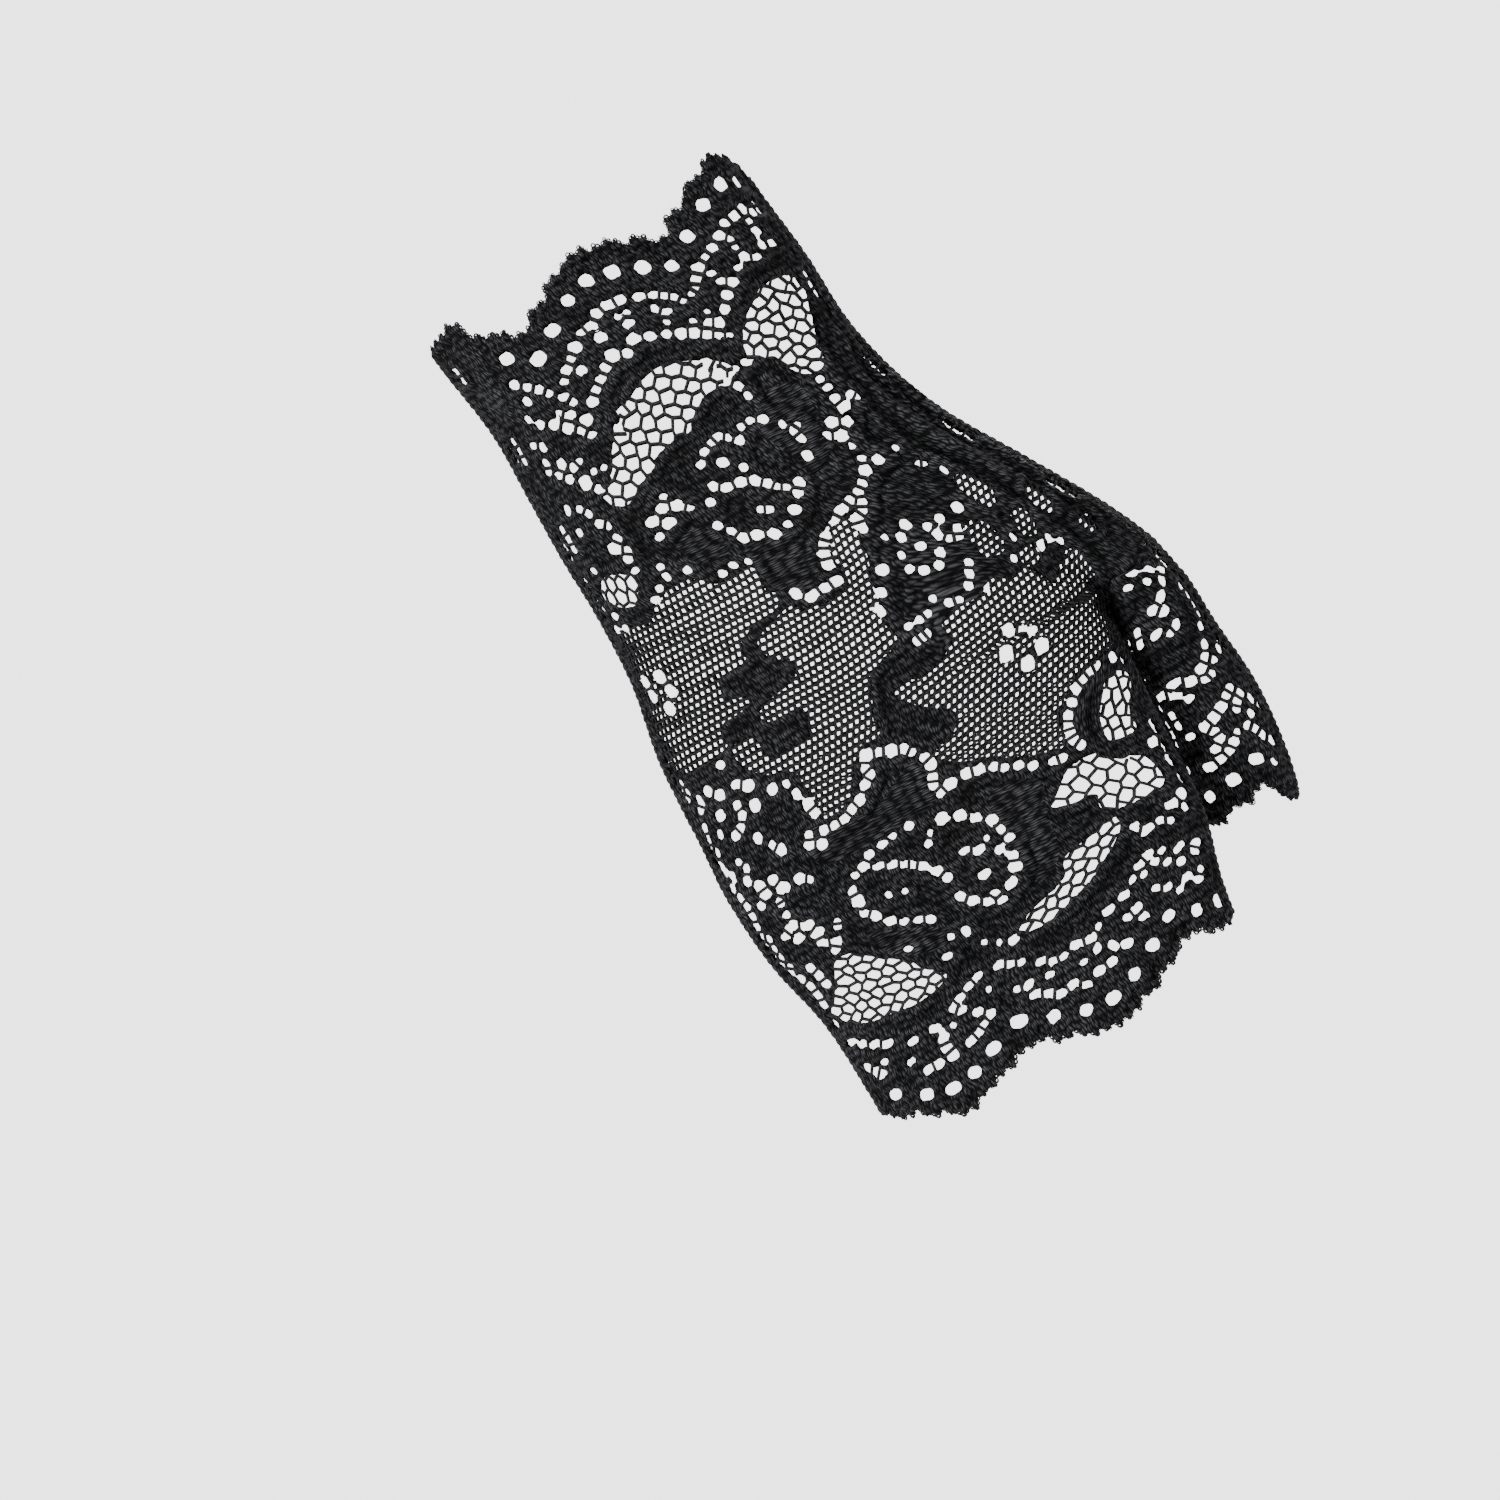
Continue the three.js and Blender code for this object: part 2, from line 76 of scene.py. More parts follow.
# The glove's cross-sections are two ovals grown together, the mitt's and the thumb sleeve's. The mitt runs
# in x from its little edge to its index edge, the sleeve from its inner to its outer edge. The _y columns
# say how far those edges lie towards the palm, and the rest how far each oval stands out on each side.
SECTION_COLUMNS = ("z", "little", "index", "back", "palm", "index_y",
                   "inner", "outer", "thumb_back", "thumb_palm", "inner_y", "outer_y")
SECTIONS = np.array([
    (52, -36.9, 32.3, 23.5, 24.0, 0.0, 2.0, 32.3, 9.0, 9.0, 0.0, 0.0),
    (38, -36.2, 32.3, 22.5, 23.5, 0.0, 3.0, 32.3, 9.5, 10.0, 0.0, 0.0),
    (20, -33.8, 34.2, 22.0, 22.5, 0.0, 5.0, 34.2, 11.0, 12.0, 0.0, 0.0),
    (5, -34.0, 34.9, 21.0, 22.0, 0.0, 8.0, 34.9, 12.5, 14.5, 0.0, 0.0),
    (-8, -34.2, 36.0, 20.0, 22.0, 0.0, 11.0, 37.8, 14.5, 17.0, 0.3, 0.3),
    (-20, -33.9, 39.0, 19.0, 22.0, 0.0, 17.0, 42.6, 15.0, 19.5, 1.0, 1.2),
    (-35, -34.6, 45.5, 18.0, 21.5, 0.6, 27.0, 51.4, 14.5, 20.0, 2.4, 3.2),
    (-50, -37.4, 51.0, 17.2, 20.5, 1.8, 40.5, 60.0, 13.5, 18.5, 3.6, 5.6),
    (-60, -38.2, 52.6, 16.8, 19.5, 3.0, 48.5, 64.6, 12.6, 16.0, 4.4, 7.6),
    (-64, -38.4, 52.4, 16.6, 19.2, 3.6, 51.3, 65.6, 12.3, 15.2, 5.0, 8.5),
    (-67, -38.5, 51.2, 16.4, 18.9, 3.3, 52.0, 66.2, 12.1, 14.6, 5.9, 9.2),
    (-71, -38.8, 50.4, 16.1, 18.4, 2.2, 51.2, 66.9, 12.0, 13.8, 7.4, 10.0),
    (-80, -39.4, 49.4, 15.5, 17.4, 0.8, 50.1, 67.2, 11.6, 12.6, 10.2, 12.0),
    (-95, -38.4, 48.2, 14.2, 15.6, 0.0, 48.9, 68.2, 11.0, 11.5, 13.4, 14.2),
    (-110, -35.2, 47.2, 12.8, 13.8, 0.0, 47.7, 66.6, 10.6, 11.0, 15.6, 15.6),
    (-125, -34.4, 43.2, 11.6, 12.2, 0.0, 48.0, 63.0, 10.2, 10.6, 16.6, 16.4),
    (-145, -34.4, 40.5, 11.0, 11.4, 0.0, 47.6, 61.0, 10.0, 10.4, 17.0, 17.0),
])
SECTION_STEPS = 240
ROUNDNESS = 2.3
# Beyond an oval's end its height falls off this steeply, so that the other oval takes over
FALL = 40.0
CROTCH_Z = -65.0
# Below this height the chart is slit between mitt and sleeve
SPLIT_Z = -63.55
# How softly the two ovals grow together at the crotch and above it
WEB = {"at_crotch": 0.25, "above": 2.4, "over": 25.0, "fade_below": 6.0}


def smoothstep(value, low, high):
    t = np.clip((value - low) / (high - low), 0, 1)
    return t * t * (3 - 2 * t)


def bell(value):
    return np.exp(-value * value)


def column(name, z):
    """A section measure at the heights z, smooth through the rows of SECTIONS."""
    heights, values = SECTIONS[:, 0], SECTIONS[:, SECTION_COLUMNS.index(name)]
    last = len(heights) - 1
    before, after = np.maximum(np.arange(last + 1) - 1, 0), np.minimum(np.arange(last + 1) + 1, last)
    slopes = (values[after] - values[before]) / (heights[after] - heights[before])
    z = np.asarray(z, float)
    k = np.clip(np.searchsorted(-heights, -z, side="right") - 1, 0, last - 1)
    span = heights[k + 1] - heights[k]
    t = np.clip((z - heights[k]) / span, 0, 1)
    lerp = values[k] + (values[k + 1] - values[k]) * t * t * (3 - 2 * t)
    return lerp + span * t * (1 - t) * (slopes[k] * (1 - t) - slopes[k + 1] * t)


def half_oval(start, end, height, x):
    across = np.abs(2 * x - start - end) / (end - start)
    inside = height * np.clip(1 - across**ROUNDNESS, 0, None) ** (1 / ROUNDNESS)
    return np.where(across < 1, inside, -FALL * (across - 1))


def stand_out(side, x, z):
    """How far the mitt's and the sleeve's ovals stand out on one side at x, in one section."""
    outward = -1 if side == "back" else 1
    little, index, inner, outer = (column(name, z) for name in ("little", "index", "inner", "outer"))
    right = min(index, outer)
    mitt_line = column("index_y", z) * np.clip((x - little) / (right - little), 0, 1) ** 4
    share = np.clip((x - inner) / (outer - inner), 0, 1)
    thumb_line = column("inner_y", z) * (1 - share) + column("outer_y", z) * share
    thumb_height = column("thumb_back" if side == "back" else "thumb_palm", z)
    return (outward * mitt_line + half_oval(little, right, column(side, z), x),
            outward * thumb_line + half_oval(inner, outer, thumb_height, x))


def section_row(part, z):
    """One section of the whole glove, of the mitt or of the thumb sleeve.

    Returns x, the y of both sides, the length along the back and, for the whole glove, the x at which the
    sleeve's oval takes over from the mitt's.
    """
    start = column("inner" if part == "thumb" else "little", z)
    end = column("index" if part == "mitt" else "outer", z)
    x = (start + end) / 2 - (end - start) / 2 * np.cos(np.linspace(0, np.pi, SECTION_STEPS))
    y = {}
    cross = None
    for side in SIDES:
        mitt, thumb = stand_out(side, x, z)
        out = thumb if part == "thumb" else mitt
        if part == "whole":
            blend = WEB["at_crotch"] + (WEB["above"] - WEB["at_crotch"]) * smoothstep(
                z, CROTCH_Z, CROTCH_Z + WEB["over"])
            join = blend * np.log1p(np.exp(-np.abs(mitt - thumb) / blend))
            out = np.maximum(mitt, thumb) + join * smoothstep(np.minimum(mitt, thumb), 0, WEB["fade_below"])
            if side == "back":
                over = np.nonzero((mitt < thumb) & (x > column("inner", z)))[0]
                cross = x[over[0]] if len(over) else end
        y[side] = (-1 if side == "back" else 1) * out
    along = np.concatenate([[0], np.cumsum(np.hypot(np.diff(x), np.diff(y["back"])))])
    if part != "thumb":
        along -= np.interp((column("little", z) + column("index", z)) / 2, x, along)
    return x, y, along, cross


# The scallops of both edges, which set where the cloth ruffles
EDGE_WAVES = {
    "cuff": {"middle": 39.3, "slope": 0.05, "wave": 3.9, "pitch": 34.0, "crest": -4.0},
    "fingers": {"middle": -135.0, "slope": 0.02, "wave": -2.6, "pitch": 35.0, "crest": -24.5},
}
RUFFLE = {"cuff": 1.2, "fingers": 0.8, "reach": 14.0}
GATHER = {"height": 0.8, "pitch": 8.5, "lean": 0.42,
          "z": -14.0, "reach_along": 24.0, "u": 36.0, "reach_across": 15.0}
# Creases along the thumb's side: how far in from the outline and at what height they are deepest, and how
# far they reach both ways
CREASES = {
    "broad": {"pitch": 5.6, "height": 0.8, "second": 0.25, "inset": 15, "across": 14, "z": -24, "along": 36},
    "fine": {"pitch": 2.3, "height": 0.5, "inset": 9, "across": 8, "z": -20, "along": 26},
}
SOFT_DENTS = 0.22
# The mitt's folds fade out on the sleeve between these depths below the wrist
SLEEVE_PLAIN = (40, 60)
FLAT_BY_SEAM = 7.0
SPLIT_EASE = 25.0
# The yarn turns along the thumb's outline between from_u and to_u, and on the mitt turns back again from
# back_from below the wrist
YARN_TURNS = {"from_u": 6, "to_u": 34, "back_from": 46}


class Form:
    """The worn surface of both panels as tables over the chart."""

    step_u, step_z = 0.25, 0.5
    top, bottom = 50.0, -145.0
    left, right = -66.0, 92.0

    def __init__(self):
        self.z = np.arange(self.top, self.bottom - 0.01, -self.step_z)
        self.u = np.arange(self.left, self.right + 0.01, self.step_u)
        self.u_left, self.u_right, self.u_split = (np.zeros(len(self.z)) for _ in range(3))
        x_table = np.zeros((len(self.z), len(self.u)))
        y_table = {side: np.zeros_like(x_table) for side in SIDES}
        crossing_u = whole_right = surplus = None
        for row, z in enumerate(self.z):
            if z >= SPLIT_Z:
                x, y, u, cross = section_row("whole", z)
                crossing_u = np.interp(cross, x, u)
                self.u_split[row] = crossing_u
                whole_right = u[-1]
            else:
                mitt_x, mitt_y, mitt_u, _ = section_row("mitt", z)
                thumb_x, thumb_y, thumb_u, _ = section_row("thumb", z)
                if surplus is None:
                    surplus = (mitt_u[-1] - crossing_u, thumb_u[-1] - (whole_right - crossing_u))
                ease = 1 - smoothstep(SPLIT_Z - z, 0, SPLIT_EASE)
                split = mitt_u[-1] - surplus[0] * ease
                mitt_u = np.where(mitt_u > 0, mitt_u * split / mitt_u[-1], mitt_u)
                thumb_u = split + 1e-6 + thumb_u * (1 - surplus[1] * ease / thumb_u[-1])
                self.u_split[row] = split
                x = np.concatenate([mitt_x, thumb_x])
                y = {side: np.concatenate([mitt_y[side], thumb_y[side]]) for side in SIDES}
                u = np.concatenate([mitt_u, thumb_u])
            self.u_left[row], self.u_right[row] = u[0], u[-1]
            x_table[row] = np.interp(self.u, u, x)
            for side in SIDES:
                y_table[side][row] = np.interp(self.u, u, y[side])
        self.x = x_table
        fold = self.folds(self.u[None, :], self.z[:, None])
        self.points, self.normals = {}, {}
        for side in SIDES:
            outward = 1 if side == "back" else -1
            along_x = np.gradient(x_table, self.step_u, axis=1)
            along_y = np.gradient(y_table[side], self.step_u, axis=1)
            length = np.maximum(np.hypot(along_x, along_y), 1e-6)
            points = np.stack([
                x_table + fold * outward * along_y / length,
                y_table[side] - fold * outward * along_x / length,
                np.repeat(self.z[:, None], len(self.u), axis=1)], axis=-1)
            across = np.gradient(points, self.step_u, axis=1)
            up = -np.gradient(points, self.step_z, axis=0)
            normals = outward * np.cross(across, up)
            normals /= np.maximum(np.linalg.norm(normals, axis=-1, keepdims=True), 1e-9)
            self.points[side], self.normals[side] = points, normals

    def row_value(self, values, z):
        return np.interp(-np.asarray(z, float), -self.z, values)

    def free_distance(self, u, z):
        """Distance to the nearest seam, along the cloth."""
        u, z = np.broadcast_arrays(np.asarray(u, float), np.asarray(z, float))
        left, right, split = (self.row_value(v, z) for v in (self.u_left, self.u_right, self.u_split))
        to_slit = np.hypot(u - split, np.maximum(z - SPLIT_Z, 0))
        return np.minimum(np.minimum(u - left, right - u), to_slit)

    def lean(self, u, z):
        """The yarn's own place across the cloth: at the thumb's side it runs along the outline."""
        right, split = self.row_value(self.u_right, z), self.row_value(self.u_split, z)
        straight = smoothstep(-z, YARN_TURNS["back_from"], SPLIT_EASE - SPLIT_Z)
        turning = smoothstep(u, YARN_TURNS["from_u"], YARN_TURNS["to_u"])
        beside = turning * np.where(u > split, 1, 1 - straight)
        return u - beside * (right - self.row_value(self.u_right, 0.0))

    def creases(self, u, z):
        """Creases that run along the outline at the thumb's side."""
        inward = self.row_value(self.u_right, z) - u
        broad, fine = CREASES["broad"], CREASES["fine"]

        def fade(crease):
            across = (inward - crease["inset"]) / crease["across"]
            return bell(across) * bell((z - crease["z"]) / crease["along"])

        phase = 2 * np.pi * inward / broad["pitch"] + 0.06 * z + np.sin(z / 9)
        height = broad["height"] * np.sin(phase) + broad["second"] * np.sin(2 * phase + 0.7)
        phase = 2 * np.pi * inward / fine["pitch"] + 0.9 * np.sin(z / 6.5 + 0.8) + 0.05 * z
        return height * fade(broad) + fine["height"] * np.sin(phase) * fade(fine)

    def folds(self, u, z):
        """How far ruffles, gathers and soft creases lift the cloth outwards."""
        cuff, fingers = EDGE_WAVES["cuff"], EDGE_WAVES["fingers"]

        def wave(edge):
            return np.cos(2 * np.pi * (u - edge["crest"]) / edge["pitch"])

        def height(edge):
            return edge["middle"] + edge["slope"] * u + edge["wave"] * wave(edge)

        free = smoothstep(self.free_distance(u, z), 0, FLAT_BY_SEAM)
        split = self.row_value(self.u_split, z)
        on_mitt = 1 - smoothstep(u - split, -2, 2) * smoothstep(-z, *SLEEVE_PLAIN)
        ruffle = RUFFLE["cuff"] * wave(cuff) * bell((height(cuff) - z) / RUFFLE["reach"])
        ruffle = ruffle + RUFFLE["fingers"] * wave(fingers) * bell((z - height(fingers)) / RUFFLE["reach"])
        gathered = bell((z - GATHER["z"]) / GATHER["reach_along"]) * bell(
            (u - GATHER["u"]) / GATHER["reach_across"])
        gathers = np.sin(2 * np.pi * (u + GATHER["lean"] * z) / GATHER["pitch"]) * gathered
        soft = SOFT_DENTS * np.sin(u / 5.3 + z / 11.0 + 1.3) * np.sin(z / 7.1 - u / 17.0)
        return free * (on_mitt * (ruffle + GATHER["height"] * gathers) + self.creases(u, z) + soft)

    def lay(self, side, u, z, lift=0.0):
        """Points of the worn cloth, in millimetres, lifted off its middle by lift."""
        u, z, lift = np.broadcast_arrays(np.asarray(u, float), np.asarray(z, float), np.asarray(lift, float))
        column_at = np.clip((u - self.left) / self.step_u, 0, len(self.u) - 1.001)
        row_at = np.clip((self.top - z) / self.step_z, 0, len(self.z) - 1.001)
        j, i = column_at.astype(int), row_at.astype(int)
        s, t = (column_at - j)[..., None], (row_at - i)[..., None]
        result = []
        for table in (self.points[side], self.normals[side]):
            low = table[i, j] * (1 - s) + table[i, j + 1] * s
            high = table[i + 1, j] * (1 - s) + table[i + 1, j + 1] * s
            result.append(low * (1 - t) + high * t)
        return result[0] + result[1] * lift[..., None]

    def chart(self, x, z):
        """The chart's u of places that are given as seen from the front."""
        x, z = np.atleast_1d(np.asarray(x, float)), np.atleast_1d(np.asarray(z, float))
        rows = np.clip(np.round((self.top - z) / self.step_z).astype(int), 0, len(self.z) - 1)
        u = np.empty(len(x))
        for k, row in enumerate(rows):
            inside = (self.u >= self.u_left[row]) & (self.u <= self.u_right[row])
            u[k] = np.interp(x[k], self.x[row][inside], self.u[inside])
        return u


form = Form()

# The lace's pattern

# The middle lines of the scalloped, toothed edges, as seen from the front
CUFF_EDGE = [
    (-37.3, 38.7), (-35.6, 39.6), (-34.3, 40.8), (-32.6, 41.4), (-31, 42.6), (-29.8, 41.0), (-29.2, 38.6),
    (-27.6, 37.4), (-25.5, 36.3), (-23.2, 35.7), (-22.6, 34.2), (-20, 33.7), (-17.8, 34.0), (-17.5, 36.6),
    (-15, 37.0), (-12.4, 37.2), (-11.6, 39.9), (-9, 40.5), (-7, 40.7), (-6.3, 41.9), (-3.6, 42.3),
    (-1.2, 42.2), (-0.8, 41.0), (2, 41.2), (4.5, 40.9), (5.1, 38.7), (7.4, 39.1), (9.6, 39.0), (10.2, 36.8),
    (12.4, 36.3), (14.7, 36.6), (15.1, 39.3), (17.4, 39.7), (19.5, 39.9), (20.4, 42.4), (22.4, 43.3),
    (24.3, 42.9), (25.5, 44.9), (27, 45.6), (28.5, 45.3), (29.2, 43.5), (30.6, 44.2), (31.3, 41.7),
    (32.1, 41.7), (33, 37.5),
]
FINGER_EDGE = [
    (-36, -131), (-34, -131), (-32.4, -133), (-28.2, -133.5), (-27, -135.4), (-23.6, -136.2), (-22, -138),
    (-18, -138.2), (-16.6, -136.8), (-13, -136.3), (-12, -135.2), (-8, -135), (-7, -133.5), (-2, -133.3),
    (0.4, -133.5), (1.2, -135.3), (5.4, -135.5), (7.2, -137.2), (12, -138), (15, -138.3), (18, -137.4),
    (19.4, -136), (23.6, -135.6), (25, -133.4), (29.6, -132.6), (31.2, -130.4), (36, -130.1), (37, -131.6),
    (41, -132.2), (43, -131),
]
THUMB_EDGE = [
    (47.6, -113.3), (49.7, -114.7), (51.2, -114.4), (52.1, -113.2), (54.8, -113.5), (56.6, -114.1),
    (58.1, -112.7), (60.5, -112.1), (62, -113.9), (62.6, -116.8), (64.9, -118.0),
]

# Fields of fine net, as seen from the front
FINE_NET = [
    # above the little finger
    [(-34.8, -25.5), (-30, -25), (-26.5, -26.5), (-24, -24.2), (-20, -22.8), (-15, -23.2), (-12.2, -26),
     (-8.8, -26.8), (-4, -27), (-3.9, -31.9), (-2.4, -34), (-4.4, -36.3), (-9.5, -36.9), (-13.3, -38.6),
     (-14.5, -42), (-20, -42.2), (-21.2, -44.3), (-21.4, -46.6), (-17.6, -48), (-17.6, -49.8), (-24, -50.2),
     (-25.4, -52), (-26, -54.6), (-35.5, -54.6), (-35.5, -45), (-34.9, -35)],
    # the middle
    [(-10, -39.6), (-6, -38), (-1.2, -37.2), (1.5, -39.4), (9.8, -39.8), (10.5, -36), (10.7, -30),
     (12.5, -27), (15.5, -27.4), (17.3, -29), (16.6, -33), (16, -37), (14.5, -40.5), (14, -44), (12.3, -48),
     (13.2, -53), (8, -55), (4, -57.2), (3.2, -60.5), (1.5, -64), (1.6, -66.6), (-0.5, -67.3), (-3, -67),
     (-5.4, -69), (-7.5, -71.5), (-9.6, -74.4), (-12, -75.6), (-15.9, -76), (-16.2, -73), (-16.4, -66),
     (-18.5, -64), (-21, -63.4), (-24, -60.6), (-25.2, -57), (-24.6, -54.9), (-20.6, -55.2), (-19.8, -58),
     (-19.2, -61), (-14, -61), (-10.2, -60.2), (-9.3, -57), (-9.8, -54.7), (-16, -54.4), (-17, -52.4),
     (-14.5, -50.8), (-8.4, -49.8), (-6, -46.8), (-9.2, -44.6), (-10.4, -42)],
    # the index edge's side
    [(22, -54.6), (26, -53.6), (31, -53.6), (34.5, -52), (38, -53.6), (41, -53), (43.2, -55.6),
     (44.8, -58.8), (47, -56.4), (50.2, -54.2), (52, -56), (52.4, -61), (51.6, -68), (50.6, -73.2),
     (46, -75), (41.5, -75.4), (37.6, -77), (35.5, -78.8), (33, -80.8), (31.6, -84), (30.6, -86.8),
     (27, -86), (24.3, -85.2), (19.7, -83), (15.7, -81), (13, -79.8), (10.4, -78.4), (8.2, -75.4),
     (14, -73.6), (15.8, -70.6), (12.4, -67.6), (10, -65.6), (7.4, -62), (10.5, -60.8), (14.5, -61.8),
     (18.4, -60.6), (22.2, -58.4)],
    # small patches beside the thumb's gathers
    [(37.8, -31.4), (41, -32), (43.3, -36), (42.6, -39.6), (40, -39), (38.5, -35)],
    [(35.3, -40.5), (38.5, -41), (40.2, -45), (39.6, -48.3), (36, -47.8), (35, -44)],
    [(44.4, -42.6), (46.6, -43), (47.4, -46), (46.6, -48.6), (44.6, -48), (43.8, -45)],
    [(48.8, -39), (50.6, -40), (51.8, -46), (50.2, -46), (49, -42.6)],
    [(41.4, -50), (44.6, -49.6), (45, -53), (42.2, -53.4)],
    [(54.6, -49.8), (57, -50), (57.6, -53.4), (55.4, -53.6)],
]

# Fields of open net: outline, turn in degrees, and a cell's width and height
OPEN_NET = [
    ([(-22, -0.2), (-19.8, 0.4), (-18, 2.8), (-16.3, 6), (-14.2, 8.3), (-11.2, 11), (-7.6, 13.4), (-4, 15),
      (0, 15.5), (4.5, 14), (7.5, 12.5), (10.2, 10.7), (12, 8.4), (11, 6.5), (8, 6.2), (4.5, 6.0), (2, 4.6),
      (0, 3.4), (-1.6, 1.4), (-4.6, 1.7), (-9.4, 0.5), (-11.2, -1.3), (-14.8, -2.5), (-18.6, -4.7),
      (-21.4, -3.1)], 22, 3.2, 2.5),
    ([(24.6, 19), (30.4, 18.2), (31, 15.6), (31.4, 13.7), (30.4, 10.7), (29.5, 5.9), (27.9, 1.7),
      (26.5, -0.5), (23.3, 0), (20.9, 2.9), (20.1, 5.9), (16.2, 7.3), (15.6, 9.5), (17.1, 13.1),
      (20.1, 16.2)], 75, 2.7, 2.6),
    ([(-28.1, -100.6), (-25.1, -100.6), (-22.1, -102.8), (-18.5, -105.5), (-15.5, -108.1), (-14.3, -110.1),
      (-10.8, -113.4), (-13.8, -114.9), (-18.8, -115.5), (-22.8, -114.9), (-27.4, -114.2), (-30.7, -112.9),
      (-33.8, -109.8), (-33.4, -108.1), (-30.7, -105.2), (-29.5, -102.7)], -16, 2.9, 1.8),
    ([(4.9, -113.4), (9, -111.1), (17.7, -108.8), (20, -105.4), (26.3, -104.3), (31.6, -103.3),
      (32.7, -104.8), (30.9, -107), (26.3, -109.7), (22.3, -111.6), (15.7, -113.6), (11, -114.6),
      (6.4, -114.2)], 12, 3.5, 1.8),
    ([(39, -90.4), (38.9, -87), (40, -84.5), (42, -82), (44, -79.9), (47.2, -79.4), (48.4, -81),
      (47.6, -83.5), (46, -85.5), (44.8, -88), (44.3, -90.8)], 28, 3.2, 2.1),
    ([(22.6, -95.6), (25.4, -93.6), (29, -91), (34.6, -90.8), (36.4, -92.6), (39.4, -94.6), (43, -96),
      (44.2, -99.5), (44, -102.4), (40, -102.9), (34, -102.4), (30.8, -100.6), (31.4, -97.6), (27, -97.2)],
      -10, 3.7, 2.5),
    ([(-29.8, -14.4), (-27.2, -15.2), (-24.8, -17.2), (-25.2, -19.4), (-27.2, -22), (-30, -20.8),
      (-31.6, -18.4), (-31.2, -16)], -20, 2.3, 2.8),
]

